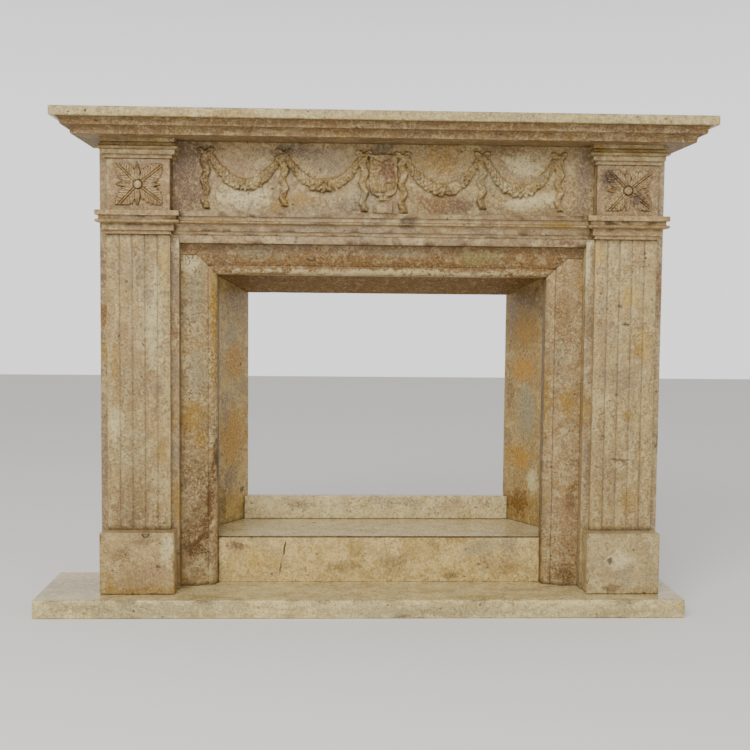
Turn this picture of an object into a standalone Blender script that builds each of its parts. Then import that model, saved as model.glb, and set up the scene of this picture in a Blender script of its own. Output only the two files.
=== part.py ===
# Carved stone mantel with its hearth slab and splayed firebox lining.
# Metres, +Z up. X runs along the shelf, the front faces -Y, and y = 0 is the face of the wall.
# The origin is on the underside of the hearth, in the wall face, on the middle line of the opening.
# "Depth" below is the distance in front of the wall face, so a depth d is at y = -d.

import math

import bmesh
import bpy
from mathutils import Matrix, Vector

# Joint between two stones that touch
JOINT = 0.0003

# Hearth slab, measured from the middle line of the opening
HEARTH_LEFT = 0.898
HEARTH_RIGHT = 0.791
HEARTH_DEPTH = 0.311
HEARTH_THICK = 0.048
HEARTH_EASE = 0.004

# Opening between the two piers and how far the firebox reaches back past the wall face
OPENING_WIDTH = 1.074
RECESS_DEPTH = 0.172

# Piers: the wide back layer of each pilaster
PIER_WIDTH = 0.205
PIER_DEPTH = 0.192

# Heights of the pieces stacked on the pier's face, from the hearth up
PLINTH_HEIGHT = 0.163
SHAFT_HEIGHT = 0.776
NECKING_HEIGHT = 0.060
BLOCK_HEIGHT = 0.134
CAPITAL_HEIGHT = 0.051
CORNICE_HEIGHT = 0.038
SHELF_THICK = 0.024

# Front layer of a pilaster
FACE_WIDTH = 0.163
FACE_THICK = 0.019
PLINTH_WIDTH = 0.194
PLINTH_THICK = 0.062
PLINTH_EASE = 0.003
REED_COUNT = 5
REED_RISE = 0.0032
REED_GROOVE = 0.0024

# Shelf: how far it passes the piers
SHELF_SIDE_OVERHANG = 0.098
SHELF_FRONT_OVERHANG = 0.140
SHELF_EASE = 0.002

# Cornice: insets of its members from the edge of the shelf, top to bottom
CORNICE_TOP_INSET = 0.012
CORNICE_FIRST_INSET = 0.023
CORNICE_STEP = 0.004
CORNICE_LAST_INSET = 0.044
CORNICE_FIRST_HEIGHT = 0.018
MOULD_FALL = 0.0004
CURVE_STEPS = 5

# Necking and architrave mouldings: projections from the face that carries them
FILLET_OUT = 0.004
FILLET_HEIGHT = 0.009
BAND_OUT = 0.011
BAND_HEIGHT = 0.018
RIDGE_OUT = 0.026
RIDGE_HEIGHT = 0.010
COVE_OUT = 0.018
TOP_FILLET_HEIGHT = 0.0135

# Capital mouldings under the cornice
CAP_FILLET_OUT = 0.006
CAP_FILLET_HEIGHT = 0.009
CAP_BAND_OUT = 0.014
CAP_BAND_HEIGHT = 0.0125
CAP_RIDGE_OUT = 0.025
CAP_RIDGE_HEIGHT = 0.0105
CAP_COVE_HEIGHT = 0.009

# Architrave and frieze between the piers
FASCIA_HEIGHT = 0.021
ARCHITRAVE_THICK = 0.092
FRIEZE_SETBACK = 0.014
FRIEZE_THICK = 0.040

# Inner frame around the fire opening
LEG_WIDTH = 0.096
HEADER_HEIGHT = 0.0805
FRAME_SETBACK = 0.032
FRAME_THICK = 0.062
FRAME_BEAD = 0.023
FRAME_CANT = 0.029
FRAME_CANT_FALL = 0.012
FRAME_BEAD_FALL = 0.019
FRAME_LINE = 0.002

# Raised floor of the firebox
FLOOR_RAISE = 0.124
RISER_THICK = 0.018
UPSTAND_HEIGHT = 0.069
UPSTAND_THICK = 0.025
UPSTAND_SLACK = 0.0045

# Splayed cheeks and sloping soffit, whose front edge stands this far over the header's underside
REAR_WIDTH = 0.762
REAR_HEIGHT = 0.668
CHEEK_SPLAY = math.radians(30.5)
SOFFIT_FRONT_RISE = 0.0512
LINING_THICK = 0.022

# Swags on the frieze, their ends swelling to the full radius in the middle
SWAG_POSTS = (0.050, 0.260, 0.465)
SWAG_TOP_DROP = 0.036
SWAG_SAG = 0.078
SWAG_RADIUS = 0.0145
SWAG_RELIEF = 0.014
SWAG_END_SHARE = 0.62
SWAG_LEAF_SHARE = 0.17
SWAG_STATIONS = 25
SWAG_SIDES = 8
SWAG_LEAVES = 8

# Ribbons that hang between the swags, with a bow over each
TAIL_LENGTH = 0.128
TAIL_WIDTH = 0.013
TAIL_TAPER = 0.25
TAIL_FOLDS = 6
TAIL_SWING = 0.005
TAIL_RELIEF = 0.007
LOOP_OUT = 0.0093
LOOP_LIFT = 0.0083
LOOP_SIZE = (0.009, 0.0072, 0.0063)
KNOT_SIZE = (0.0075, 0.009, 0.0075)

# Urn: a deep bucket on a low foot
URN_OFFSET = -0.003
URN_RADIUS = 0.039
URN_HEIGHT = 0.120
URN_RELIEF = 0.016
URN_STEPS = 16
URN_FOOT_WIDTH = 0.050
URN_FOOT_HEIGHT = 0.036
URN_FOOT_RELIEF = 0.007

# Rosette on each corner block: broad leaves to the corners, narrow petals between them
ROSETTE_REACH = 0.080
ROSETTE_LEAF_WIDTH = 0.044
ROSETTE_RELIEF = 0.010
PETAL_REACH = 0.054
PETAL_WIDTH = 0.013
PETAL_RELIEF = 0.006
BOSS_RADIUS = 0.0115
LEAF_STATIONS = 7
LEAF_START = 0.10
LEAF_TIP = 0.12

# Chip in the top edge of the left plinth
CHIP_PLACE = 0.023
CHIP_SIZE = (0.012, 0.005, 0.011)

# Facets of a rounded lump, and of the finer ones
LUMP_FACETS = (8, 6)
BOSS_FACETS = (12, 8)

STONE_ROUGHNESS = 0.35

# Places that follow from the sizes above
pier_in = OPENING_WIDTH / 2
pier_out = pier_in + PIER_WIDTH
pier_middle = (pier_in + pier_out) / 2
face_in = pier_middle - FACE_WIDTH / 2
face_depth = PIER_DEPTH + FACE_THICK

hearth_top = HEARTH_THICK
plinth_top = hearth_top + PLINTH_HEIGHT
shaft_top = plinth_top + SHAFT_HEIGHT
necking_top = shaft_top + NECKING_HEIGHT
block_top = necking_top + BLOCK_HEIGHT
capital_top = block_top + CAPITAL_HEIGHT
cornice_top = capital_top + CORNICE_HEIGHT
shelf_top = cornice_top + SHELF_THICK

shelf_half = pier_out + SHELF_SIDE_OVERHANG
shelf_depth = PIER_DEPTH + SHELF_FRONT_OVERHANG

architrave_bottom = shaft_top - FASCIA_HEIGHT
frieze_depth = PIER_DEPTH - FRIEZE_SETBACK

leg_in = pier_in - LEG_WIDTH
header_bottom = architrave_bottom - HEADER_HEIGHT
frame_depth = PIER_DEPTH - FRAME_SETBACK
frame_back = frame_depth - FRAME_THICK
frame_shoulder = FRAME_BEAD + FRAME_CANT

floor_top = hearth_top + FLOOR_RAISE
soffit_rear = floor_top + REAR_HEIGHT
soffit_slope = math.atan2(header_bottom + SOFFIT_FRONT_RISE - soffit_rear, RECESS_DEPTH + frame_back)
lining_side = LINING_THICK / math.cos(CHEEK_SPLAY)


def new_collection(name):
    collection = bpy.data.collections.new(name)
    bpy.context.scene.collection.children.link(collection)
    return collection


def stone(name, colour):
    material = bpy.data.materials.new(name)
    material.use_nodes = True
    shader = material.node_tree.nodes["Principled BSDF"]
    shader.inputs["Base Color"].default_value = (*colour, 1.0)
    shader.inputs["Roughness"].default_value = STONE_ROUGHNESS
    shader.inputs["Metallic"].default_value = 0.0
    return material


def solid(name, mesh_maker, colour=None):
    # Fills a new object's mesh from a bmesh, its faces turned outwards. One without a colour is a cutter.
    built = bmesh.new()
    mesh_maker(built)
    bmesh.ops.recalc_face_normals(built, faces=built.faces)
    mesh = bpy.data.meshes.new(name)
    built.to_mesh(mesh)
    built.free()
    made = bpy.data.objects.new(name, mesh)
    if colour is None:
        cutters.objects.link(made)
        made.hide_render = True
        made.display_type = "WIRE"
    else:
        parts.objects.link(made)
        mesh.materials.append(stone(name + "_stone", colour))
    return made


def boolean(target, tool, operation):
    step = target.modifiers.new(operation.lower() + "_" + tool.name, "BOOLEAN")
    step.operation = operation
    step.solver = "EXACT"
    step.object = tool


def ease(target, width, segments=2):
    bevel = target.modifiers.new("eased_edges", "BEVEL")
    bevel.width = width
    bevel.segments = segments
    bevel.limit_method = "ANGLE"
    bevel.angle_limit = math.radians(40)


def box(low, high):
    # A rectangular block between two corners
    def make(built):
        cube = bmesh.ops.create_cube(built, size=1.0)
        size = Vector(high) - Vector(low)
        middle = (Vector(high) + Vector(low)) / 2
        bmesh.ops.scale(built, verts=cube["verts"], vec=size)
        bmesh.ops.translate(built, verts=cube["verts"], vec=middle)
    return make


def prism(outline, start, end, along):
    # A flat outline drawn out along one axis. It is given in the two other axes, in their order.
    def make(built):
        places = {
            "X": lambda a, b: (start, a, b),
            "Y": lambda a, b: (a, start, b),
            "Z": lambda a, b: (a, b, start),
        }
        face = built.faces.new([built.verts.new(places[along](a, b)) for a, b in outline])
        grown = bmesh.ops.extrude_face_region(built, geom=[face])
        far = [item for item in grown["geom"] if isinstance(item, bmesh.types.BMVert)]
        step = Vector([end - start if axis == along else 0.0 for axis in "XYZ"])
        bmesh.ops.translate(built, verts=far, vec=step)
    return make


def loft(rings):
    # A closed form through rings of equal length, capped at both ends
    def make(built):
        rows = [[built.verts.new(point) for point in ring] for ring in rings]
        for lower, upper in zip(rows, rows[1:]):
            for index in range(len(lower)):
                after = (index + 1) % len(lower)
                built.faces.new((lower[index], lower[after], upper[after], upper[index]))
        built.faces.new(rows[0])
        built.faces.new(rows[-1])
    return make


def tiers(section, left, right, front, back, base):
    # Moulding that returns round both ends: a rectangle is lofted up through the section's points.
    # Each point is a projection past left, right and front, and a height over the base.
    rings = []
    for out, height in section:
        rings.append([(left - out, back, base + height), (left - out, -front - out, base + height),
                      (right + out, -front - out, base + height), (right + out, back, base + height)])
    return loft(rings)


def cove(low, high, steps=CURVE_STEPS):
    # Quarter curve from an upright tangent at one end to a level one at the other
    curve = []
    for index in range(1, steps + 1):
        turn = math.pi / 2 * index / steps
        out = low[0] + (high[0] - low[0]) * (1 - math.cos(turn))
        height = low[1] + (high[1] - low[1]) * math.sin(turn)
        curve.append((out, height))
    return curve


def ridge(low, high, bulge, steps=CURVE_STEPS):
    # Half-round bead between two points of a section
    curve = []
    for index in range(1, steps):
        turn = math.pi * index / steps
        share = (1 - math.cos(turn)) / 2
        out = low[0] + (high[0] - low[0]) * share + bulge * math.sin(turn)
        height = low[1] + (high[1] - low[1]) * share
        curve.append((out, height))
    return curve + [high]


def necking_section():
    # Fillet, flat band, ridge with a cove over it, and a wide top fillet
    band = FILLET_HEIGHT + BAND_HEIGHT
    crest = band + RIDGE_HEIGHT
    cove_top = NECKING_HEIGHT - TOP_FILLET_HEIGHT
    section = [(FILLET_OUT, 0.0), (FILLET_OUT, FILLET_HEIGHT)]
    section += [(BAND_OUT, FILLET_HEIGHT + MOULD_FALL), (BAND_OUT, band)]
    section += [(COVE_OUT, band + MOULD_FALL)]
    section += ridge((COVE_OUT, band + MOULD_FALL), (COVE_OUT, crest), RIDGE_OUT - COVE_OUT)
    section += [(COVE_OUT, cove_top), (RIDGE_OUT, cove_top + MOULD_FALL)]
    section += [(RIDGE_OUT, NECKING_HEIGHT - JOINT)]
    return section


def capital_section():
    band = CAP_FILLET_HEIGHT + CAP_BAND_HEIGHT
    crest = band + CAP_RIDGE_HEIGHT
    section = [(CAP_FILLET_OUT, 0.0), (CAP_FILLET_OUT, CAP_FILLET_HEIGHT)]
    section += [(CAP_BAND_OUT, CAP_FILLET_HEIGHT + MOULD_FALL), (CAP_BAND_OUT, band)]
    section += ridge((CAP_BAND_OUT, band), (CAP_BAND_OUT, crest), CAP_RIDGE_OUT - CAP_BAND_OUT)
    section += [(CAP_FILLET_OUT, crest + CAP_COVE_HEIGHT)]
    section += [(CAP_BAND_OUT, crest + CAP_COVE_HEIGHT + MOULD_FALL)]
    section += [(CAP_BAND_OUT, CAPITAL_HEIGHT - JOINT)]
    return section


def cornice_section():
    # Two coves, one over the other, each flaring out towards the shelf
    last = -CORNICE_LAST_INSET
    first = -CORNICE_FIRST_INSET
    step = CORNICE_HEIGHT - CORNICE_FIRST_HEIGHT
    section = [(last, 0.0)]
    section += cove((last, 0.0), (first - CORNICE_STEP, step))
    section += [(first, step + MOULD_FALL)]
    section += cove((first, step + MOULD_FALL), (-CORNICE_TOP_INSET, CORNICE_HEIGHT - JOINT))
    return section


def reeded_outline(left, right, back, front):
    # Plan of a shaft: shallow rounded reeds with a sharp groove between each two
    width = (right - left) / REED_COUNT
    outline = [(left, back), (left, front + REED_GROOVE)]
    for reed in range(REED_COUNT):
        for index in range(1, CURVE_STEPS):
            share = index / CURVE_STEPS
            across = left + width * (reed + share)
            outline.append((across, front + REED_GROOVE - REED_RISE * math.sin(math.pi * share)))
        outline.append((left + width * (reed + 1), front + REED_GROOVE))
    outline.append((right, back))
    return outline


def frame_outline():
    # Section of the inner frame: distance out from the opening's edge, and depth
    shoulder = frame_depth - FRAME_CANT_FALL
    inner = shoulder - FRAME_BEAD_FALL
    outline = [(0.0, frame_back), (0.0, inner - FRAME_LINE)]
    for index in range(1, CURVE_STEPS + 1):
        turn = math.pi / 2 * index / CURVE_STEPS
        outline.append((FRAME_BEAD * (1 - math.cos(turn)), inner + FRAME_BEAD_FALL * math.sin(turn)))
    outline.append((FRAME_BEAD + FRAME_LINE, shoulder - FRAME_LINE))
    outline.append((FRAME_BEAD + 2 * FRAME_LINE, shoulder))
    outline.append((frame_shoulder, frame_depth))
    return outline


def cheek_half(depth):
    # Half the width between the cheeks' faces at a depth
    return REAR_WIDTH / 2 + (RECESS_DEPTH + depth) * math.tan(CHEEK_SPLAY)


def soffit_height(depth):
    return soffit_rear + (RECESS_DEPTH + depth) * math.tan(soffit_slope)


def lump(centre, size, facets=LUMP_FACETS):
    # A rounded lump of carving with the given half sizes
    def make(built):
        ball = bmesh.ops.create_uvsphere(built, u_segments=facets[0], v_segments=facets[1], radius=1.0)
        bmesh.ops.scale(built, verts=ball["verts"], vec=size)
        bmesh.ops.translate(built, verts=ball["verts"], vec=centre)
    return make


def garland(start, end, height, face):
    # A leafy bunch along a hanging curve, thickest at its lowest point
    rings = []
    for station in range(SWAG_STATIONS):
        share = station / (SWAG_STATIONS - 1)
        across = start + (end - start) * share
        drop = SWAG_SAG * 4 * share * (1 - share)
        slope = -SWAG_SAG * 4 * (1 - 2 * share) / (end - start)
        along = Vector((1.0, 0.0, slope)).normalized()
        over = Vector((-along.z, 0.0, along.x))
        swell = SWAG_END_SHARE + (1 - SWAG_END_SHARE) * math.sin(math.pi * share)
        ring = []
        for side in range(SWAG_SIDES):
            turn = 2 * math.pi * side / SWAG_SIDES
            leaf = 1 + SWAG_LEAF_SHARE * math.cos(2 * math.pi * SWAG_LEAVES * share + 2 * turn)
            radius = SWAG_RADIUS * swell * leaf
            place = Vector((across, face, height - drop)) + over * radius * math.cos(turn)
            place.y -= SWAG_RELIEF * swell * leaf * math.sin(turn)
            ring.append(place)
        rings.append(ring)
    return loft(rings)


def ribbon_tail(across, top, face, sunk):
    # Folded ribbon end, drawn as a zigzag band that narrows a little as it falls
    left = []
    right = []
    for fold in range(TAIL_FOLDS + 1):
        swing = TAIL_SWING * (-1) ** fold
        height = top - TAIL_LENGTH * fold / TAIL_FOLDS
        half = TAIL_WIDTH / 2 * (1 - TAIL_TAPER * fold / TAIL_FOLDS)
        left.append((across - half + swing, height))
        right.append((across + half + swing, height))
    return prism(left + right[::-1], face - TAIL_RELIEF, face + sunk, "Y")


def urn_profile():
    # Half outline of the urn, top to bottom, as radius and height in shares of its own size
    rim = [(0.0, 1.0), (1.0, 1.0), (1.0, 0.95), (0.93, 0.94)]
    belly = [(0.94, 0.66), (0.97, 0.40), (0.88, 0.27), (0.72, 0.15)]
    foot = [(0.36, 0.10), (0.34, 0.05), (0.52, 0.03), (0.52, 0.0), (0.0, 0.0)]
    return [(URN_RADIUS * out, URN_HEIGHT * up) for out, up in rim + belly + foot]


def leaf(reach, width, relief, turn, centre, face):
    # One leaf of a rosette: its midrib lies in a groove between two crests, its edges dip into the stone.
    # The section is in shares of the half width and of the crest's height.
    section = [(-0.5, 0.9), (0.0, 0.55), (0.5, 0.9)]
    dip = -relief / 8
    rings = []
    for station in range(LEAF_STATIONS):
        share = station / (LEAF_STATIONS - 1)
        along = reach * (LEAF_START + (1 - LEAF_START) * share)
        half = width / 2 * max(math.sin(math.pi * share ** 0.8), LEAF_TIP)
        crest = relief * (1 + math.sin(math.pi * share)) / 2
        across = [(-half, dip)]
        across += [(half * side, crest * rise) for side, rise in section]
        across += [(half, dip), (0.0, -relief)]
        ring = []
        for side, rise in across:
            x = along * math.cos(turn) - side * math.sin(turn)
            z = along * math.sin(turn) + side * math.cos(turn)
            ring.append((centre[0] + x, face - rise, centre[1] + z))
        rings.append(ring)
    return loft(rings)


for old in list(bpy.data.objects):
    bpy.data.objects.remove(old, do_unlink=True)

parts = new_collection("fireplace_mantel")
cutters = new_collection("cutters")

cream = (0.56, 0.45, 0.29)
beige = (0.50, 0.39, 0.25)
tan = (0.43, 0.32, 0.20)
ochre = (0.52, 0.36, 0.15)
shaded = (0.33, 0.24, 0.15)

# Hearth slab: wide in front of the wall, with a tongue that carries the firebox
tongue = pier_in - JOINT
hearth_plan = [(-HEARTH_LEFT, -HEARTH_DEPTH), (HEARTH_RIGHT, -HEARTH_DEPTH), (HEARTH_RIGHT, 0.0)]
hearth_plan += [(tongue, 0.0), (tongue, RECESS_DEPTH), (-tongue, RECESS_DEPTH), (-tongue, 0.0)]
hearth_plan += [(-HEARTH_LEFT, 0.0)]
hearth = solid("hearth_slab", prism(hearth_plan, 0.0, hearth_top, "Z"), cream)
ease(hearth, HEARTH_EASE)

# Raised floor of the firebox, its riser and the low upstand at the back
riser_depth = frame_back + RISER_THICK
floor_low = (-tongue, JOINT - frame_back, hearth_top + JOINT)
floor_high = (tongue, RECESS_DEPTH, floor_top)
solid("firebox_floor", box(floor_low, floor_high), beige)
riser_low = (JOINT - leg_in, -riser_depth, hearth_top + JOINT)
riser_high = (leg_in - JOINT, -frame_back, floor_top)
solid("floor_riser", box(riser_low, riser_high), cream)
upstand_front = cheek_half(UPSTAND_THICK - RECESS_DEPTH) - UPSTAND_SLACK
upstand_rear = cheek_half(-RECESS_DEPTH) - UPSTAND_SLACK
upstand_face = RECESS_DEPTH - UPSTAND_THICK
upstand_plan = [(-upstand_front, upstand_face), (upstand_front, upstand_face)]
upstand_plan += [(upstand_rear, RECESS_DEPTH), (-upstand_rear, RECESS_DEPTH)]
upstand_top = floor_top + UPSTAND_HEIGHT
solid("back_upstand", prism(upstand_plan, floor_top + JOINT, upstand_top, "Z"), beige)

# Pilasters: each layer stands on the hearth or is fixed to the pier's face
frieze_back = frieze_depth - FRIEZE_THICK
for side, word in ((-1, "left"), (1, "right")):
    low_x, high_x = sorted((side * pier_in, side * pier_out))
    face_low = side * pier_middle - FACE_WIDTH / 2
    face_high = side * pier_middle + FACE_WIDTH / 2

    pier_low = (low_x, -PIER_DEPTH, hearth_top + JOINT)
    pier_high = (high_x, 0.0, capital_top - JOINT)
    pier = solid("pier_" + word, box(pier_low, pier_high), tan)

    # Rebate that lets the end of the cheek and of the soffit run into the pier
    rebate_depths = (frame_back + JOINT, -JOINT)
    past = lining_side + JOINT
    rebate = [(side * (cheek_half(depth) - LINING_THICK), -depth) for depth in rebate_depths]
    rebate += [(side * (cheek_half(depth) + past), -depth) for depth in reversed(rebate_depths)]
    boolean(pier, solid("rebate_" + word, prism(rebate, floor_top, architrave_bottom, "Z")), "DIFFERENCE")

    # Notch that lets the frieze panel run on behind the corner block's side
    notch_from, notch_to = sorted((side * (pier_in - FACE_THICK), side * face_in))
    notch_low = (notch_from, -2 * PIER_DEPTH, necking_top)
    notch_high = (notch_to, JOINT - frieze_back, shelf_top)
    boolean(pier, solid("frieze_notch_" + word, box(notch_low, notch_high)), "DIFFERENCE")

    plinth_low = (side * pier_middle - PLINTH_WIDTH / 2, -PIER_DEPTH - PLINTH_THICK, hearth_top + JOINT)
    plinth_high = (side * pier_middle + PLINTH_WIDTH / 2, -PIER_DEPTH - JOINT, plinth_top)
    plinth = solid("plinth_" + word, box(plinth_low, plinth_high), beige)
    ease(plinth, PLINTH_EASE)
    if side < 0:
        chip_centre = (CHIP_PLACE - pier_middle, -PIER_DEPTH - PLINTH_THICK, plinth_top)
        boolean(plinth, solid("plinth_chip", lump(chip_centre, CHIP_SIZE)), "DIFFERENCE")

    back = -PIER_DEPTH - JOINT
    reeds = reeded_outline(face_low, face_high, back, -face_depth)
    solid("shaft_" + word, prism(reeds, plinth_top + JOINT, shaft_top - JOINT, "Z"), beige)
    moulded = (face_low, face_high, face_depth)
    solid("necking_" + word, tiers(necking_section(), *moulded, back, shaft_top), beige)

    # Capital: its inner end reaches back past the pier's face to the frieze
    cap_back = -frieze_depth - JOINT
    cap_form = tiers(capital_section(), *moulded, cap_back, block_top + JOINT)
    capital = solid("capital_" + word, cap_form, tan)
    cap_cut_from, cap_cut_to = sorted((side * (face_in - JOINT), side * shelf_half))
    cap_cut_low = (cap_cut_from, back, block_top - JOINT)
    cap_cut = solid("capital_back_" + word, box(cap_cut_low, (cap_cut_to, 0.0, shelf_top)))
    boolean(capital, cap_cut, "DIFFERENCE")

    block_low = (face_low, -face_depth, necking_top + JOINT)
    block = solid("corner_block_" + word, box(block_low, (face_high, back, block_top)), cream)
    centre = (side * pier_middle, (necking_top + block_top) / 2)
    boss_centre = (centre[0], -face_depth - PETAL_RELIEF / 2, centre[1])
    boolean(block, solid("boss_" + word, lump(boss_centre, [BOSS_RADIUS] * 3, BOSS_FACETS)), "UNION")
    lean = math.atan2(BLOCK_HEIGHT, FACE_WIDTH)
    for number, leaf_turn in enumerate((lean, math.pi - lean, math.pi + lean, -lean)):
        corner_leaf = leaf(ROSETTE_REACH, ROSETTE_LEAF_WIDTH, ROSETTE_RELIEF, leaf_turn, centre, -face_depth)
        boolean(block, solid("corner_leaf_{}_{}".format(word, number), corner_leaf), "UNION")
        petal_turn = math.pi / 2 * number
        petal = leaf(PETAL_REACH, PETAL_WIDTH, PETAL_RELIEF, petal_turn, centre, -face_depth)
        boolean(block, solid("petal_{}_{}".format(word, number), petal), "UNION")

# Architrave: the necking's mouldings run on between the piers over a plain fascia
architrave_back = -(PIER_DEPTH - ARCHITRAVE_THICK)
architrave_side = [(architrave_back, architrave_bottom), (-PIER_DEPTH, architrave_bottom)]
architrave_side += [(-PIER_DEPTH, shaft_top)]
architrave_side += [(-PIER_DEPTH - out, shaft_top + height) for out, height in necking_section()]
architrave_side += [(architrave_back, necking_top - JOINT)]
architrave = solid("architrave", prism(architrave_side, JOINT - pier_in, pier_in - JOINT, "X"), beige)
for side, word in ((-1, "left"), (1, "right")):
    stop = side * (face_in - RIDGE_OUT - JOINT)
    beyond = side * (pier_in + FACE_WIDTH)
    notch_low = (min(stop, beyond), -face_depth - 2 * RIDGE_OUT, shaft_top - JOINT)
    notch_high = (max(stop, beyond), -PIER_DEPTH, necking_top + JOINT)
    boolean(architrave, solid("architrave_stop_" + word, box(notch_low, notch_high)), "DIFFERENCE")

# Frieze panel with two swags on each side of an urn
frieze_half = face_in - JOINT
frieze_low = (-frieze_half, -frieze_depth, necking_top + JOINT)
frieze_high = (frieze_half, -frieze_back, capital_top - JOINT)
frieze = solid("frieze_panel", box(frieze_low, frieze_high), cream)
swag_top = capital_top - SWAG_TOP_DROP
sunk = FRIEZE_THICK / 2
for side, word in ((-1, "left"), (1, "right")):
    for number, (near, far) in enumerate(zip(SWAG_POSTS, SWAG_POSTS[1:])):
        start, end = sorted((side * near, side * far))
        swag = solid("swag_{}_{}".format(word, number), garland(start, end, swag_top, -frieze_depth))
        boolean(frieze, swag, "UNION")
    for number, post in enumerate(SWAG_POSTS):
        across = side * post
        tail = ribbon_tail(across, swag_top - KNOT_SIZE[2], -frieze_depth, sunk)
        boolean(frieze, solid("tail_{}_{}".format(word, number), tail), "UNION")
        for lean, half in ((-1, "a"), (1, "b")):
            loop_centre = (across + lean * LOOP_OUT, -frieze_depth, swag_top + LOOP_LIFT)
            loop = solid("bow_{}_{}_{}".format(word, number, half), lump(loop_centre, LOOP_SIZE))
            boolean(frieze, loop, "UNION")
        knot = solid("knot_{}_{}".format(word, number), lump((across, -frieze_depth, swag_top), KNOT_SIZE))
        boolean(frieze, knot, "UNION")

# Urn: a turned form, flattened against the panel, on a small foot
foot_top = necking_top + URN_FOOT_HEIGHT
profile = bpy.data.meshes.new("urn_profile")
points = [(out, 0.0, height) for out, height in urn_profile()]
profile.from_pydata(points, [(index, index + 1) for index in range(len(points) - 1)], [])
urn = bpy.data.objects.new("urn", profile)
cutters.objects.link(urn)
urn.hide_render = True
urn.display_type = "WIRE"
turning = urn.modifiers.new("turned", "SCREW")
turning.steps = URN_STEPS
turning.render_steps = URN_STEPS
turning.use_merge_vertices = True
turning.merge_threshold = 0.00001
urn.matrix_world = (Matrix.Translation((URN_OFFSET, -frieze_depth, foot_top))
                    @ Matrix.Diagonal((1.0, URN_RELIEF / URN_RADIUS, 1.0, 1.0)))
boolean(frieze, urn, "UNION")
foot_low = (URN_OFFSET - URN_FOOT_WIDTH / 2, -frieze_depth - URN_FOOT_RELIEF, necking_top + 2 * JOINT)
foot_high = (URN_OFFSET + URN_FOOT_WIDTH / 2, sunk - frieze_depth, foot_top + 2 * JOINT)
boolean(frieze, solid("urn_foot", box(foot_low, foot_high)), "UNION")

# Cornice and shelf
cornice_plan = (-shelf_half, shelf_half, shelf_depth, 0.0)
solid("cornice", tiers(cornice_section(), *cornice_plan, capital_top), tan)
shelf_low = (-shelf_half, -shelf_depth, cornice_top)
shelf = solid("shelf_slab", box(shelf_low, (shelf_half, 0.0, shelf_top)), cream)
ease(shelf, SHELF_EASE)

# Inner frame: legs and header share one section and meet in a mitre that turns level at the shoulder
section = frame_outline()
for side, word in ((-1, "left"), (1, "right")):
    leg_plan = [(side * (leg_in + out), -depth) for out, depth in section]
    leg_plan += [(side * (pier_in - JOINT), -frame_depth), (side * (pier_in - JOINT), -frame_back)]
    leg_top = header_bottom + frame_shoulder - JOINT
    leg = solid("frame_leg_" + word, prism(leg_plan, hearth_top + JOINT, leg_top, "Z"), tan)
    mitre = [(side * (leg_in - JOINT), header_bottom - 2 * JOINT)]
    mitre += [(side * (leg_in + frame_shoulder), leg_top)]
    mitre += [(side * (leg_in + frame_shoulder), header_bottom + HEADER_HEIGHT)]
    mitre += [(side * (leg_in - FRAME_BEAD), header_bottom + HEADER_HEIGHT)]
    mitre += [(side * (leg_in - FRAME_BEAD), header_bottom - 2 * JOINT)]
    boolean(leg, solid("leg_mitre_" + word, prism(mitre, -2 * PIER_DEPTH, PIER_DEPTH, "Y")), "DIFFERENCE")

header_side = [(-depth, header_bottom + out) for out, depth in section]
header_side += [(-frame_depth, architrave_bottom - JOINT), (-frame_back, architrave_bottom - JOINT)]
header = solid("frame_header", prism(header_side, JOINT - pier_in, pier_in - JOINT, "X"), tan)
for side, word in ((-1, "left"), (1, "right")):
    under = [(side * leg_in, header_bottom)]
    under += [(side * (leg_in + frame_shoulder), header_bottom + frame_shoulder)]
    under += [(side * pier_out, header_bottom + frame_shoulder)]
    under += [(side * pier_out, header_bottom - LEG_WIDTH), (side * leg_in, header_bottom - LEG_WIDTH)]
    mitre_cut = solid("header_mitre_" + word, prism(under, -2 * PIER_DEPTH, PIER_DEPTH, "Y"))
    boolean(header, mitre_cut, "DIFFERENCE")

# Splayed lining of the firebox. The soffit lies on the cheeks.
lining_front = frame_back - JOINT
for side, word in ((-1, "left"), (1, "right")):
    plan = [(side * cheek_half(lining_front), -lining_front)]
    plan += [(side * cheek_half(-RECESS_DEPTH), RECESS_DEPTH)]
    plan += [(side * (cheek_half(-RECESS_DEPTH) + lining_side), RECESS_DEPTH)]
    plan += [(side * (cheek_half(lining_front) + lining_side), -lining_front)]
    cheek = solid("cheek_" + word, prism(plan, floor_top + JOINT, architrave_bottom, "Z"), ochre)
    over = [(-lining_front - LINING_THICK, soffit_height(lining_front + LINING_THICK) - JOINT)]
    over += [(RECESS_DEPTH + LINING_THICK, soffit_height(-RECESS_DEPTH - LINING_THICK) - JOINT)]
    over += [(RECESS_DEPTH + LINING_THICK, shelf_top), (-lining_front - LINING_THICK, shelf_top)]
    boolean(cheek, solid("cheek_top_" + word, prism(over, -shelf_half, shelf_half, "X")), "DIFFERENCE")

lining_rise = LINING_THICK / math.cos(soffit_slope)
soffit_side = [(-lining_front, soffit_height(lining_front)), (RECESS_DEPTH, soffit_height(-RECESS_DEPTH))]
soffit_side += [(RECESS_DEPTH, soffit_height(-RECESS_DEPTH) + lining_rise)]
soffit_side += [(-lining_front, soffit_height(lining_front) + lining_rise)]
soffit = solid("soffit", prism(soffit_side, -shelf_half, shelf_half, "X"), shaded)
for side, word in ((-1, "left"), (1, "right")):
    ends = (lining_front + LINING_THICK, -RECESS_DEPTH - LINING_THICK)
    outside = [(side * (cheek_half(depth) + lining_side), -depth) for depth in ends]
    outside += [(side * 2 * shelf_half, -depth) for depth in reversed(ends)]
    boolean(soffit, solid("soffit_end_" + word, prism(outside, 0.0, shelf_top, "Z")), "DIFFERENCE")
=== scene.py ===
# Carved travertine mantel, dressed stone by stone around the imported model.
# Metres in the scene, millimetres in the settings. The front faces -Y and the hearth stands on 0.
import math

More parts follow.
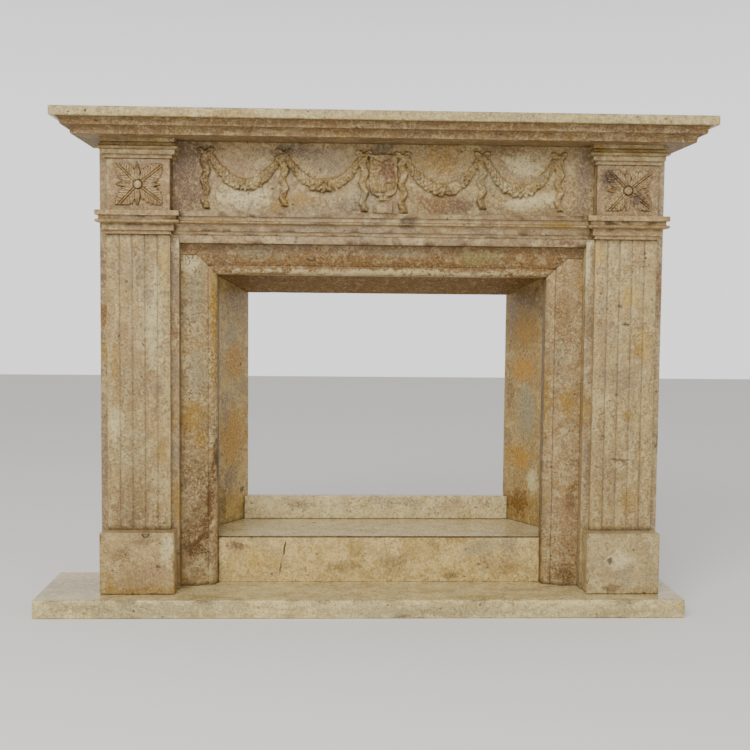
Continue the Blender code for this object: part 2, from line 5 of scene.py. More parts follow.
import bmesh
import bpy
import numpy as np
from mathutils import Matrix, Vector, noise


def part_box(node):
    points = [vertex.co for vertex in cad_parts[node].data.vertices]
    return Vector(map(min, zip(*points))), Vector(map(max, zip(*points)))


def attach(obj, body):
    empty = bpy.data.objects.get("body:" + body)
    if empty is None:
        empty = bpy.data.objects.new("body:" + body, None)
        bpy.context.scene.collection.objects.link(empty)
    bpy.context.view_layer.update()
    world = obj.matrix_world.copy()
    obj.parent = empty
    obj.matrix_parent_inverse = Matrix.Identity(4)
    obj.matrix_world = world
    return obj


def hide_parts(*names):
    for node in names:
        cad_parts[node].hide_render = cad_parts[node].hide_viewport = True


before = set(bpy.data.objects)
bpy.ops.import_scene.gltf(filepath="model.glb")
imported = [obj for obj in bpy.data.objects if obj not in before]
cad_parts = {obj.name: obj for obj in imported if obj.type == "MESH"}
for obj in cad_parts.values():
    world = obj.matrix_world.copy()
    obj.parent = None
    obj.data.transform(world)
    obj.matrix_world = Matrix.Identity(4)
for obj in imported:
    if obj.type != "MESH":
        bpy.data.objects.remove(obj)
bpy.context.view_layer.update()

mm = 0.001
snap = 0.00001                           # points nearer than this are one
gap = 0.3                                # open joint between two stones
scene = bpy.context.scene


def toLinear(hexColour):
    parts = [int(hexColour[start:start + 2], 16) / 255 for start in (1, 3, 5)]
    return (*[part / 12.92 if part <= 0.04045 else ((part + 0.055) / 1.055) ** 2.4 for part in parts], 1.0)


def between(first, second, share):
    # A hex colour this far from the first towards the second
    pairs = [(int(first[start:start + 2], 16), int(second[start:start + 2], 16)) for start in (1, 3, 5)]
    return "#" + "".join("%02x" % round(a + (b - a) * share) for a, b in pairs)


def node(tree, kind, sockets=None, **settings):
    # A shader node with its settings. A socket takes a value, a socket or a node's first output.
    made = tree.nodes.new("ShaderNode" + kind)
    for name, value in settings.items():
        setattr(made, name, value)
    for name, value in (sockets or {}).items():
        value = value.outputs[0] if isinstance(value, bpy.types.Node) else value
        if isinstance(value, bpy.types.NodeSocket):
            tree.links.new(value, made.inputs[name])
        else:
            made.inputs[name].default_value = value
    return made


def inMetres(values):
    return [value * mm for value in values]


def perMm(size):
    # Texture scale whose features come out about this many millimetres wide
    return 1 / (size * mm)


def cornersOf(nodeName):
    # Lowest and highest corner of a packed stone, in millimetres
    low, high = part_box(nodeName)
    return low / mm, high / mm


stoneLook = {
    "slow": 110, "quick": 17,               # sizes of the noises that push the patterns about
    "bent": (50, 10), "spot": (22, 12), "crack": (0, 8),    # how far each pushes beds, stains and cracks
    "breakSize": 15, "breakShare": 3.6,     # noise that eats holes into the stains
    "torn": (3.1, 2.3), "stainBoost": 1.1,  # how its edge fades, and how strong the stains come out
    "stainDepth": 60,
    "crackleSize": 17, "pitSize": 12, "grainSize": 5, "speckSize": 6.5, "patchSize": 75,
    "relief": 0.9,                          # depth of pits and crackle
    # The dark grime colour serves both dirt in joints and painted shade in hollows and under carved relief
    "grimeAndShade": "#3b2817", "pit": "#3f2c1b", "crackle": "#5d452b", "speck": "#5c4226",
}


def travertine(name, look):
    # Travertine, a banded limestone full of small holes, sawn, honed and waxed: soft cloudy beds of gold,
    # tan and grey-mauve, rusty stains, patches of dark specks, hairline crackle and a dull polish
    material = bpy.data.materials.new(name)
    material.use_nodes = True
    tree = material.node_tree
    shader = tree.nodes["Principled BSDF"]
    place = node(tree, "TexCoord").outputs["Object"]
    moved = node(tree, "Mapping", {"Vector": place, "Location": look["shift"]})
    swings = []
    for size, detail in ((stoneLook["slow"], 2.0), (stoneLook["quick"], 3.0)):
        push = node(tree, "TexNoise", {"Vector": moved, "Scale": perMm(size), "Detail": detail})
        swings.append(node(tree, "VectorMath", {0: push.outputs[1], 1: (0.5, 0.5, 0.5)},
                           operation="SUBTRACT"))
    pushed = {"bent": moved, "spot": place, "crack": place}
    for kind in pushed:
        for swing, reach in zip(swings, stoneLook[kind]):
            pushed[kind] = node(tree, "VectorMath", {0: swing, 1: (reach * mm,) * 3, 2: pushed[kind]},
                                operation="MULTIPLY_ADD")
    bent = pushed["bent"]

    layers = []
    # Clouds: size, where the noise starts and ends, how strong, colour
    for number, (size, low, high, share, tint) in enumerate(look["clouds"]):
        own = node(tree, "VectorMath", {0: bent, 1: (3.7 * number, 1.9 * number, 5.3 * number)},
                   operation="ADD")
        cloud = node(tree, "TexNoise", {"Vector": own, "Scale": perMm(size), "Detail": 6.0,
                                        "Roughness": 0.72})
        amount = node(tree, "MapRange", {"Value": cloud, "From Min": low, "From Max": high,
                                         "To Max": share}, interpolation_type="SMOOTHSTEP")
        layers.append((amount, tint))
    # Beds: thickness, stretch along each axis, noise start and end, strength, colour
    for thick, stretch, low, high, share, tint in look["beds"]:
        drawn = node(tree, "Mapping", {"Vector": bent, "Scale": stretch})
        bed = node(tree, "TexNoise", {"Vector": drawn, "Scale": perMm(thick), "Detail": 4.0,
                                      "Roughness": 0.6})
        amount = node(tree, "MapRange", {"Value": bed, "From Min": low, "From Max": high,
                                         "To Max": share}, interpolation_type="SMOOTHSTEP")
        layers.append((amount, tint))
    # Stains: centre, reach, strength, colour. Noise added to the distance eats holes into them.
    breakUp = node(tree, "TexNoise", {"Vector": bent, "Scale": perMm(stoneLook["breakSize"]),
                                      "Detail": 5.0, "Roughness": 0.7})
    for centre, reach, share, tint in look["stains"]:
        near = node(tree, "Mapping", {"Vector": pushed["spot"], "Location": inMetres(centre),
                                      "Scale": inMetres(reach)}, vector_type="TEXTURE")
        far = node(tree, "VectorMath", {0: near}, operation="LENGTH")
        torn = node(tree, "Math", {0: breakUp, 1: stoneLook["breakShare"], 2: far.outputs[1]},
                    operation="MULTIPLY_ADD")
        strength = min(1.0, stoneLook["stainBoost"] * share)
        amount = node(tree, "MapRange", {"Value": torn, "From Min": stoneLook["torn"][0],
                                         "From Max": stoneLook["torn"][1], "To Max": strength},
                      interpolation_type="SMOOTHSTEP")
        layers.append((amount, tint))
    # Specks: small dark holes full of dirt and pale crystals, in patches
    fine = node(tree, "TexNoise", {"Vector": moved, "Scale": perMm(stoneLook["speckSize"]), "Detail": 2.0,
                                   "Roughness": 0.6})
    patch = node(tree, "TexNoise", {"Vector": bent, "Scale": perMm(stoneLook["patchSize"]), "Detail": 2.0})
    patch = node(tree, "MapRange", {"Value": patch, "From Min": 0.40, "From Max": 0.60,
                                    "To Min": 0.12, "To Max": look["specks"]})
    for low, high, share, tint in ((0.54, 0.62, 1.0, stoneLook["speck"]), (0.45, 0.36, 0.6, look["pale"])):
        speck = node(tree, "MapRange", {"Value": fine, "From Min": low, "From Max": high,
                                        "To Max": share})
        amount = node(tree, "Math", {0: speck, 1: patch}, operation="MULTIPLY")
        layers.append((amount, tint))
    # Grain: pale and dark at crystal size, drawn coarse enough to show
    grain = node(tree, "TexNoise", {"Vector": place, "Scale": perMm(stoneLook["grainSize"]), "Detail": 3.0,
                                    "Roughness": 0.75})
    for low, high, share, tint in ((0.52, 0.66, 0.44, look["pale"]), (0.48, 0.34, 0.55, look["dark"])):
        amount = node(tree, "MapRange", {"Value": grain, "From Min": low, "From Max": high,
                                         "To Max": share})
        layers.append((amount, tint))
    # Crackle runs between cells and comes and goes
    cells = node(tree, "TexVoronoi", {"Vector": bent, "Scale": perMm(stoneLook["crackleSize"])},
                 feature="DISTANCE_TO_EDGE")
    web = node(tree, "MapRange", {"Value": cells.outputs["Distance"], "From Min": 0.07, "From Max": 0.0,
                                  "To Max": look["crackle"]})
    patchy = node(tree, "MapRange", {"Value": breakUp, "From Min": 0.46, "From Max": 0.62})
    web = node(tree, "Math", {0: web, 1: patchy}, operation="MULTIPLY")
    layers.append((web, stoneLook["crackle"]))
    # Pits: one cell in a few holds a hole
    drawn = node(tree, "Mapping", {"Vector": bent, "Scale": (0.7, 0.7, 1.0)})
    holes = node(tree, "TexVoronoi", {"Vector": drawn, "Scale": perMm(stoneLook["pitSize"])})
    lot = node(tree, "SeparateColor", {0: holes.outputs["Color"]})
    wide = node(tree, "MapRange", {"Value": lot, "From Min": 1 - look["pits"],
                                   "From Max": 1.0, "To Max": 0.30})
    pit = node(tree, "Math", {0: wide, 1: holes.outputs["Distance"]}, operation="SUBTRACT")
    pit = node(tree, "MapRange", {"Value": pit, "From Min": 0.0, "From Max": 0.10})
    pitTint = node(tree, "Math", {0: pit, 1: 0.7}, operation="MULTIPLY")
    layers.append((pitTint, stoneLook["pit"]))
    # Cracks: middle, half length, turn in the face, half width, strength, colour
    for middle, half, turn, width, share, tint in look["placedCracks"]:
        near = node(tree, "Mapping", {"Vector": pushed["crack"], "Location": inMetres(middle),
                                      "Rotation": (0.0, math.radians(turn), 0.0),
                                      "Scale": (width * mm, 60 * mm, half * mm)}, vector_type="TEXTURE")
        far = node(tree, "VectorMath", {0: near}, operation="LENGTH")
        amount = node(tree, "MapRange", {"Value": far.outputs[1], "From Min": 1.0, "From Max": 0.4,
                                         "To Max": share})
        layers.append((amount, tint))
    # Grime lies in the joints, and painted shade in the hollows and under carved relief, as the mesh marks
    # them
    hollow = node(tree, "Attribute", attribute_name="grimeAndShade")
    uneven = node(tree, "MapRange", {"Value": breakUp, "From Min": 0.3, "From Max": 0.6,
                                     "To Min": 0.55, "To Max": 0.9})
    darkening = node(tree, "Math", {0: hollow.outputs["Fac"], 1: uneven}, operation="MULTIPLY")
    layers.append((darkening, stoneLook["grimeAndShade"]))

    colour = toLinear(look["base"])
    for amount, tint in layers:
        mixed = node(tree, "Mix", {0: amount, 6: colour, 7: toLinear(tint)}, data_type="RGBA")
        colour = mixed.outputs[2]
    tree.links.new(colour, shader.inputs["Base Color"])

    dull = node(tree, "MapRange", {"Value": breakUp, "From Min": 0.3, "From Max": 0.7,
                                   "To Min": look["polish"] - 0.05, "To Max": look["polish"] + 0.12})
    dull = node(tree, "Math", {0: dull, 1: pitTint}, operation="MAXIMUM")
    dull = node(tree, "Math", {0: dull, 1: hollow.outputs["Fac"]}, operation="MAXIMUM")
    tree.links.new(dull.outputs[0], shader.inputs["Roughness"])
    shader.inputs["IOR"].default_value = 1.54
    shader.inputs["Specular IOR Level"].default_value = look["shine"]
    depth = node(tree, "Math", {0: web, 1: 0.4, 2: pit}, operation="MULTIPLY_ADD")
    depth = node(tree, "Math", {0: fine, 1: -0.6, 2: depth}, operation="MULTIPLY_ADD")
    bump = node(tree, "Bump", {"Height": depth, "Distance": stoneLook["relief"] * mm,
                               "Strength": 0.7}, invert=True)
    tree.links.new(bump.outputs[0], shader.inputs["Normal"])
    return material


# What each stone looks like. A stain is its place on the face, its reach, its strength and its colour, and
# a crack is its two ends, its half width, its strength and its colour.

tints = {"tan": "#6f5128", "mauve": "#6d5a46", "grey": "#878062", "ochre": "#8a6602", "rust": "#6e4604",
         "umber": "#3f2a15", "pale": "#d4c896", "rose": "#92704c", "gold": "#b59132", "red": "#643c1e",
         "brown": "#583a16", "amber": "#a4760a", "lilac": "#7c6a56", "green": "#86804e"}
flatBeds, uprightBeds = (0.10, 0.30, 1.0), (1.0, 0.30, 0.12)


def placedStains(nodeName, own):
    # Each stain's middle and reach in space, from its place on the top, on the front or on an inner side
    low, high = cornersOf(nodeName)
    deep = stoneLook["stainDepth"]
    placed = [((x, -back, high.z), (wide, long, deep), share, tints[tint])
              for x, back, wide, long, share, tint in own["top"]]
    placed += [((x, low.y, z), (wide, deep, tall), share, tints[tint])
               for x, z, wide, tall, share, tint in own["front"]]
    placed += [((own["sideAt"], y, z), (2 * deep, long, tall), share, tints[tint])
               for y, z, long, tall, share, tint in own["side"]]
    return placed


def placedCracks(nodeName, own):
    # A crack from one point of the front to another, as middle, half length and turn
    front = cornersOf(nodeName)[0].y
    placed = []
    for start, end, width, share, tint in own["cracks"]:
        run, rise = end[0] - start[0], end[1] - start[1]
        placed.append(((start[0] + run / 2, front, start[1] + rise / 2), math.hypot(run, rise) / 2,
                       math.degrees(math.atan2(run, rise)), width, share, tints[tint]))
    return placed


def look(base, tan=0.45, mauve=0.5, pale=0.4, **changes):
    # Clouds and beds take their colours from the stone's own base. The shares say how far they part.
    own = {"base": base, "pale": between(base, tints["pale"], 0.55),
           "dark": between(base, tints["umber"], 0.55),
           "polish": 0.3, "shine": 0.4, "specks": 0.55, "crackle": 0.55, "pits": 0.22,
           "beds": (), "top": (), "front": (), "side": (), "sideAt": 0, "cracks": (),
           "clouds": [(46, 0.47, 0.56, 0.85, between(base, tints["tan"], tan)),
                      (95, 0.50, 0.58, 0.75, between(base, tints["mauve"], mauve)),
                      (34, 0.53, 0.59, 0.85, between(base, tints["pale"], pale)),
                      (60, 0.58, 0.64, 0.60, between(base, tints["ochre"], 0.45)),
                      (15, 0.54, 0.60, 0.55, between(base, tints["umber"], 0.40)),
                      (19, 0.55, 0.61, 0.60, between(base, tints["pale"], 0.50))]}
    own.update(changes)
    return own


def streaks(base, stretch, dark=0.4, light=0.4, thick=11):
    return [(thick, stretch, 0.50, 0.62, dark, between(base, tints["tan"], 0.5)),
            (thick * 1.6, stretch, 0.52, 0.62, light, between(base, tints["pale"], 0.5))]


looks = {
    "shelf_slab": look("#b3a06c", 0.25, 0.25, polish=0.2, specks=0.5, beds=streaks("#b3a06c", flatBeds),
        # The small umber spots at -749 and -664 are painted shade in the shelf's chips
        front=[(-378, 1280, 74, 9, 0.5, "ochre"), (-749, 1280, 4, 3, 0.9, "umber"),
            (-664, 1282, 4, 3, 0.8, "umber"), (-198, 1284, 4, 3, 0.8, "umber"),
            (300, 1282, 90, 8, 0.3, "grey")]),
    # The cornice's darker mauve-brown base is partly the stone's own colour and partly painted shade of the
    # coves under the shelf
    "cornice": look("#826848", 0.45, 0.7, polish=0.5, shine=0.1, specks=0.7,
        beds=streaks("#826848", flatBeds, 0.5, 0.35)),
    "capital_left": look("#9b8051"),
    "capital_right": look("#9d8559", front=[(561, 1219, 27, 12, 0.7, "ochre"),
            (647, 1219, 27, 7, 0.6, "ochre")]),
    "corner_block_left": look("#8e7146", 0.35, 0.45),
    "corner_block_right": look("#8b6e46", 0.35, 0.5, front=[(666, 1092, 17, 21, 0.8, "umber"),
            (584, 1143, 26, 24, 0.9, "umber")]),
    "frieze_panel": look("#957b4a", 0.45, 0.5, 0.4, specks=0.6, front=[(145, 1189, 60, 36, 0.85, "ochre"),
            (138, 1075, 66, 30, 0.9, "rust"), (-5, 1221, 32, 15, 0.7, "umber"),
            (8, 1166, 26, 31, 0.75, "red"), (-284, 1063, 24, 22, 0.8, "ochre"),
            (-221, 1085, 42, 20, 0.7, "ochre"), (-103, 1068, 52, 18, 0.5, "brown"),
            (-520, 1140, 56, 130, 1.0, "brown"), (-545, 1100, 16, 140, 0.7, "brown"),
            (-400, 1180, 60, 40, 0.4, "rose"), (-150, 1190, 60, 35, 0.4, "mauve"),
            (-370, 1086, 70, 30, 0.55, "pale"), (-60, 1086, 50, 26, 0.4, "grey"),
            (385, 1089, 67, 25, 0.5, "pale"), (304, 1219, 59, 20, 0.6, "brown"),
            (371, 1181, 48, 25, 0.5, "pale"), (200, 1070, 44, 20, 0.8, "brown"),
            (530, 1150, 24, 90, 0.7, "mauve"), (-240, 1215, 60, 22, 0.65, "umber"),
            (-455, 1215, 40, 14, 0.5, "umber"), (280, 1140, 50, 30, 0.4, "grey")],
        cracks=[((516, 1182), (530, 1145), 1.6, 0.8, "umber"),
            ((530, 1145), (541, 1095), 1.6, 0.8, "umber")]),
    "necking_left": look("#9a7c4c"),
    "necking_right": look("#9a7c4c"),
    "architrave": look("#9c8054", 0.4, 0.5, specks=0.6, beds=streaks("#9c8054", flatBeds, 0.4, 0.3),
        front=[(482, 977, 30, 10, 0.8, "red"), (57, 1019, 23, 10, 0.7, "umber"),
            (65, 1030, 21, 7, 0.7, "umber"), (370, 1001, 16, 10, 0.6, "brown"),
            (450, 1023, 43, 10, 0.6, "ochre"), (-160, 1010, 70, 16, 0.4, "brown"),
            (-420, 1020, 60, 14, 0.4, "ochre")],
        cracks=[((257, 996), (257, 1040), 1.2, 0.7, "umber")]),
    "frame_header": look("#7c5c35", 0.45, 0.6, 0.4, specks=0.85, shine=0.2, front=[
            (-9, 915, 420, 9, 0.5, "brown"), (0, 894, 440, 9, 0.55, "pale"),
            (256, 940, 60, 22, 0.5, "green"), (-189, 929, 11, 5, 0.9, "umber"),
            (-330, 945, 60, 20, 0.5, "grey"), (40, 948, 90, 12, 0.4, "grey")]),
    "frame_leg_left": look("#9a8056", 0.45, 0.6, 0.45, specks=0.85, shine=0.2, front=[
            (-497, 843, 27, 105, 0.5, "grey"), (-491, 618, 26, 66, 0.55, "grey"),
            (-502, 866, 13, 10, 0.8, "lilac"), (-449, 803, 13, 80, 0.85, "ochre"),
            (-508, 504, 34, 50, 0.6, "ochre"), (-449, 660, 10, 90, 0.5, "ochre"),
            (-484, 445, 16, 32, 0.6, "ochre"), (-447, 386, 9, 60, 0.85, "umber"),
            (-463, 305, 12, 86, 0.8, "brown"), (-472, 207, 18, 50, 0.85, "brown"),
            (-500, 152, 30, 26, 0.95, "brown"), (-485, 262, 26, 40, 0.55, "brown"),
            (-498, 351, 26, 54, 0.55, "brown"), (-510, 916, 27, 21, 0.5, "pale"),
            (-541, 119, 10, 44, 0.6, "ochre"), (-505, 215, 20, 46, 0.6, "brown"),
            (-440, 250, 8, 90, 0.5, "rose")],
        cracks=[((-444, 440), (-460, 330), 6, 0.75, "brown"), ((-460, 340), (-466, 205), 7, 0.85, "brown"),
            ((-466, 200), (-512, 146), 9, 0.9, "brown")]),
    "frame_leg_right": look("#9a8058", 0.4, 0.5, specks=0.7, shine=0.2, front=[
            (488, 772, 24, 107, 0.45, "tan"), (476, 678, 23, 40, 0.5, "grey"),
            (500, 552, 23, 38, 0.65, "ochre"), (505, 85, 29, 29, 0.7, "brown"),
            (515, 202, 20, 112, 0.45, "rose"), (518, 285, 15, 39, 0.6, "brown"),
            (450, 560, 12, 110, 0.5, "ochre")]),
    "pier_left": look("#967b51", 0.4, 0.5, specks=0.7, front=[(-544, 289, 13, 67, 0.75, "ochre"),
            (-553, 501, 8, 37, 0.7, "ochre"), (-536, 949, 8, 24, 0.7, "pale"),
            (-545, 732, 10, 24, 0.75, "rust"), (-550, 880, 20, 90, 0.6, "mauve"),
            (-547, 640, 20, 50, 0.55, "mauve"), (-548, 400, 16, 60, 0.45, "lilac"),
            (-734, 776, 10, 28, 0.85, "rust"), (-732, 679, 9, 26, 0.7, "ochre"),
            (-545, 110, 14, 50, 0.6, "rust"), (-738, 900, 10, 80, 0.4, "brown"),
            (-738, 380, 10, 160, 0.45, "mauve")]),
    "pier_right": look("#a38b62", 0.4, 0.5, specks=0.6, front=[(543, 528, 15, 54, 0.6, "ochre"),
            (552, 372, 13, 82, 0.6, "mauve"), (537, 927, 14, 58, 0.6, "pale"),
            (738, 856, 9, 67, 0.7, "rust"), (741, 453, 9, 30, 0.7, "umber"),
            (548, 760, 14, 70, 0.4, "brown")]),
    "shaft_left": look("#9f8552", 0.3, 0.4, beds=streaks("#9f8552", uprightBeds), specks=0.6,
        front=[(-665, 698, 40, 50, 0.5, "rose"), (-602, 764, 31, 130, 0.35, "pale"),
            (-617, 823, 16, 22, 0.6, "lilac"), (-695, 489, 21, 47, 0.4, "pale"),
            (-655, 291, 52, 66, 0.45, "brown"), (-640, 600, 50, 60, 0.3, "mauve"),
            (-690, 724, 4, 8, 0.9, "umber"), (-581, 587, 12, 18, 0.6, "mauve"),
            (-583, 419, 13, 26, 0.6, "ochre"), (-573, 914, 8, 65, 0.4, "gold"),
            (-640, 900, 40, 70, 0.35, "mauve"), (-700, 640, 14, 60, 0.5, "ochre"),
            (-660, 420, 50, 60, 0.25, "grey")]),
    "shaft_right": look("#a58b58", 0.35, 0.45, beds=streaks("#a08653", uprightBeds), specks=0.65,
        front=[(567, 950, 17, 26, 0.5, "gold"), (689, 709, 18, 42, 0.5, "gold"),
            (651, 833, 22, 26, 0.5, "gold"), (675, 696, 14, 18, 0.7, "ochre"),
            (627, 812, 6, 5, 0.9, "umber"), (638, 763, 8, 5, 0.9, "umber"), (585, 464, 8, 5, 0.9, "umber"),
            (634, 399, 33, 4, 0.7, "umber"), (580, 816, 14, 21, 0.5, "grey"),
            (582, 637, 16, 18, 0.6, "mauve"), (650, 515, 17, 11, 0.6, "ochre"),
            (666, 288, 24, 38, 0.5, "ochre"), (640, 620, 50, 50, 0.4, "mauve"),
            (610, 330, 40, 60, 0.3, "brown")]),
    # The umber spots at -617 and -583 are painted shade in this plinth's chips
    "plinth_left": look("#a58a58", 0.3, 0.35, 0.3, specks=0.45, front=[(-617, 205, 12, 7, 0.7, "umber"),
            (-601, 101, 40, 30, 0.5, "rose"), (-558, 168, 18, 37, 0.5, "pale"),
            (-712, 73, 20, 30, 0.5, "ochre"), (-678, 151, 24, 20, 0.45, "brown"),
            (-583, 123, 5, 11, 0.8, "umber"), (-625, 190, 34, 12, 0.5, "brown"),
            (-600, 60, 110, 12, 0.5, "ochre"), (-650, 90, 50, 34, 0.35, "tan")],
        # These two cracks make a V of painted shade in the notch at -617
        cracks=[((-630, 211), (-617, 197), 2.4, 1.0, "umber"),
            ((-617, 197), (-604, 211), 2.4, 1.0, "umber")]),
    "plinth_right": look("#ad9768", 0.3, 0.35, 0.35, specks=0.45, front=[(623, 140, 36, 24, 0.55, "pale"),
            (602, 138, 9, 9, 0.8, "umber"), (650, 85, 18, 22, 0.5, "grey"),
            (607, 64, 24, 12, 0.6, "brown"), (700, 51, 4, 4, 0.9, "rust")]),
    "cheek_left": look("#b49656", 0.4, 0.6, 0.3, specks=0.6, sideAt=-430, side=[
            (112, 830, 60, 60, 0.55, "brown"), (100, 712, 26, 40, 0.6, "grey"),
            (112, 640, 40, 54, 1.0, "amber"), (102, 540, 26, 36, 0.5, "grey"),
            (100, 425, 60, 96, 1.0, "amber"), (70, 500, 14, 60, 0.6, "lilac"),
            (90, 298, 30, 40, 0.6, "mauve"), (142, 264, 6, 8, 0.9, "umber"),
            (60, 240, 16, 50, 0.6, "brown")]),
    "cheek_right": look("#a18348", 0.35, 0.5, 0.3, specks=0.6, sideAt=430, side=[
            (96, 835, 60, 40, 0.7, "brown"), (95, 741, 56, 68, 1.0, "ochre"),
            (95, 625, 50, 40, 1.0, "amber"), (95, 735, 28, 36, 0.5, "amber"),
            (84, 500, 34, 76, 0.8, "grey"), (107, 364, 50, 38, 1.0, "amber"),
            (112, 232, 46, 38, 0.95, "rust"), (150, 560, 14, 60, 0.5, "brown"),
            (50, 300, 20, 40, 0.6, "pale"), (146, 791, 12, 34, 0.8, "lilac")]),
    "soffit": look("#7a5a33", 0.4, 0.5, 0.2, polish=0.6, shine=0.12, specks=0.9),
    # The back upstand and the firebox floor are partly pale stone and partly painted light that lifts the
    # shade inside the firebox
    "back_upstand": look("#d8c48f", 0.25, 0.25, specks=0.6, front=[(-227, 213, 34, 16, 0.5, "brown"),
            (235, 208, 40, 18, 0.4, "rose"), (60, 222, 90, 10, 0.4, "grey")]),
    "firebox_floor": look("#e3d09c", 0.25, 0.3, beds=streaks("#ddc997", flatBeds), polish=0.24),
    "floor_riser": look("#cfb36f", 0.3, 0.35, 0.3, specks=0.45, polish=0.22, front=[
            (-393, 148, 30, 12, 1.0, "brown"), (-393, 143, 34, 20, 0.4, "rose"),
            (-63, 139, 28, 34, 0.5, "ochre"), (-95, 88, 49, 17, 0.45, "brown"),
            (199, 65, 28, 11, 0.6, "brown"), (33, 97, 44, 28, 0.4, "brown"),
            (275, 144, 51, 28, 0.6, "grey"), (350, 152, 23, 23, 0.6, "lilac"),
            (206, 166, 39, 14, 0.6, "ochre"), (123, 144, 67, 40, 0.35, "ochre"),
            (-330, 110, 60, 30, 0.35, "gold"), (330, 90, 60, 30, 0.4, "tan")],
        cracks=[((-255, 170), (-268, 110), 3.0, 1.0, "umber"),
            ((-268, 114), (-276, 58), 2.4, 0.9, "umber")]),
    "hearth_slab": look("#dac68c", 0.25, 0.3, polish=0.2, shine=0.22, specks=0.4,
        beds=streaks("#d2be88", flatBeds, 0.6, 0.45, 14),
        top=[(-461, 269, 60, 24, 0.4, "ochre"), (229, 277, 70, 18, 0.4, "ochre"),
            (374, 204, 50, 18, 0.4, "grey"), (-790, 160, 120, 120, 0.35, "green"),
            # The umber spot at 131 is painted shade in the hearth's chip
            (131, 136, 6, 4, 0.8, "umber")],
        front=[(-600, 24, 260, 20, 0.5, "grey"), (150, 22, 300, 14, 0.5, "grey"),
            (600, 20, 200, 14, 0.4, "grey")]),
}
stones = {}
for number, (nodeName, own) in enumerate(looks.items()):
    own["shift"] = (1.7 * number, 0.9 * number, 2.3 * number)     # no two stones show the same pattern
    own["stains"] = placedStains(nodeName, own)
    own["placedCracks"] = placedCracks(nodeName, own)
    stones[nodeName] = travertine("honedTravertine" + nodeName.title().replace("_", ""), own)
print("stones mixed:", len(stones))


def extrudeRows(rows, soiled=()):
    # A ring of points is extruded row by row, each new row set to its own places, and the ends are filled
    made = bmesh.new()
    order = made.verts.layers.int.new("order")
    darkenBy = made.verts.layers.float.new("darkenBy")
    line = [made.verts.new(place) for place in rows[0]]
    for index, vert in enumerate(line):
        vert[order] = index
    edges = [made.edges.new(pair) for pair in zip(line, line[1:] + line[:1])]
    for number, row in enumerate(rows[1:], 1):
        grown = bmesh.ops.extrude_edge_only(made, edges=edges)["geom"]
        for item in grown:
            if isinstance(item, bmesh.types.BMVert):
                item.co = row[item[order]]
                item[darkenBy] = 1.0 if number - len(rows) in soiled or number in soiled else 0.0
        edges = [item for item in grown if isinstance(item, bmesh.types.BMEdge)]
    bmesh.ops.holes_fill(made, edges=[edge for edge in made.edges if edge.is_boundary], sides=0)
    bmesh.ops.remove_doubles(made, verts=made.verts, dist=snap)
    bmesh.ops.dissolve_degenerate(made, dist=snap / 2, edges=made.edges)
    made.verts.layers.int.remove(made.verts.layers.int["order"])
    return made


def steps(start, end, pitch):
    count = max(1, round(abs(end - start) / pitch))
    return [start + (end - start) * step / count for step in range(count + 1)]


def eased(section, radius=0.8, closed=False):
    # Corners of a section are rubbed to a small round, with a point beside each that keeps its shade narrow
    points = [Vector(point) for point in section]
    result = []
    for index, point in enumerate(points):
        if not closed and index in (0, len(points) - 1):
            result.append(point)
            near = points[1] if index == 0 else points[-2]
            if (near - point).length > 5:
                result.insert(len(result) - (index > 0), point + (near - point).normalized() * 2.2)
            continue
        before = points[index - 1] - point
        after = points[(index + 1) % len(points)] - point
        if math.pi - before.angle(after) < math.radians(22):
            result.append(point)
            continue
        nearBefore = min(radius, 0.3 * before.length)
        nearAfter = min(radius, 0.3 * after.length)
        before.normalize()
        after.normalize()
        result.append(point + before * nearBefore * 1.9)
        result.append(point + before * nearBefore)
        result.append(point + before * nearBefore * 0.3 + after * nearAfter * 0.3)
        result.append(point + after * nearAfter)
        result.append(point + after * nearAfter * 1.9)
    return result


def curve(start, end, kind, count=10):
    # A cove leaves start upright and reaches end level. A number makes a bead that swells out by it.
    points = []
    for step in range(1, count + 1):
        share = step / count
        if kind == "cove":
            turn = math.pi / 2 * share
            out = start[0] + (end[0] - start[0]) * (1 - math.cos(turn))
            up = start[1] + (end[1] - start[1]) * math.sin(turn)
        else:
            turn = math.pi * share
            out = start[0] + (end[0] - start[0]) * share + kind * math.sin(turn)
            up = start[1] + (end[1] - start[1]) * (1 - math.cos(turn)) / 2
        points.append((out, up))
    return points


wear = {
    "rim": 2.6,                             # a cut this far from each edge keeps its shade narrow
    "patch": 23, "fine": 8, "fineShare": 0.6,   # sizes of the noises that wear the arrises unevenly
    "least": 0.2, "start": 0.12, "gain": 2.2,   # wear everywhere, and where and how fast it grows
    "sharp": 0.5,                           # an arris that turns this much is rubbed fully
    "chipSize": 5, "chipRagged": 0.35,
    "fold": 48,                             # degrees of an inward fold that takes the full painted shade
    "joint": 1.3, "back": 2,                # dirt reaches this far from a joint; neither dirt nor painted shade reaches the back
}


def copyOf(nodeName, ease, pitch):
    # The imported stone's own mesh, merged, its arrises eased and its faces cut for wear
    made = bmesh.new()
    made.from_mesh(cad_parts[nodeName].data)
    bmesh.ops.remove_doubles(made, verts=made.verts, dist=2 * snap)
    bmesh.ops.dissolve_limit(made, angle_limit=math.radians(1), verts=made.verts, edges=made.edges)
    if ease:
        arrises = [edge for edge in made.edges
                   if edge.is_manifold and edge.calc_face_angle(0.0) > math.radians(30)]
        bmesh.ops.bevel(made, geom=arrises, offset=ease * mm, affect="EDGES", segments=2, profile=0.5,
                        material=-1)
    low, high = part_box(nodeName)
    for axis in range(3):
        across = Vector([1.0 if index == axis else 0.0 for index in range(3)])
        cuts = steps(low[axis], high[axis], pitch * mm)[1:-1]
        rim = wear["rim"] * mm
        for where in cuts + [low[axis] + rim, high[axis] - rim]:
            bmesh.ops.bisect_plane(made, geom=made.verts[:] + made.edges[:] + made.faces[:], dist=snap,
                                   plane_co=across * where, plane_no=across)
    return made


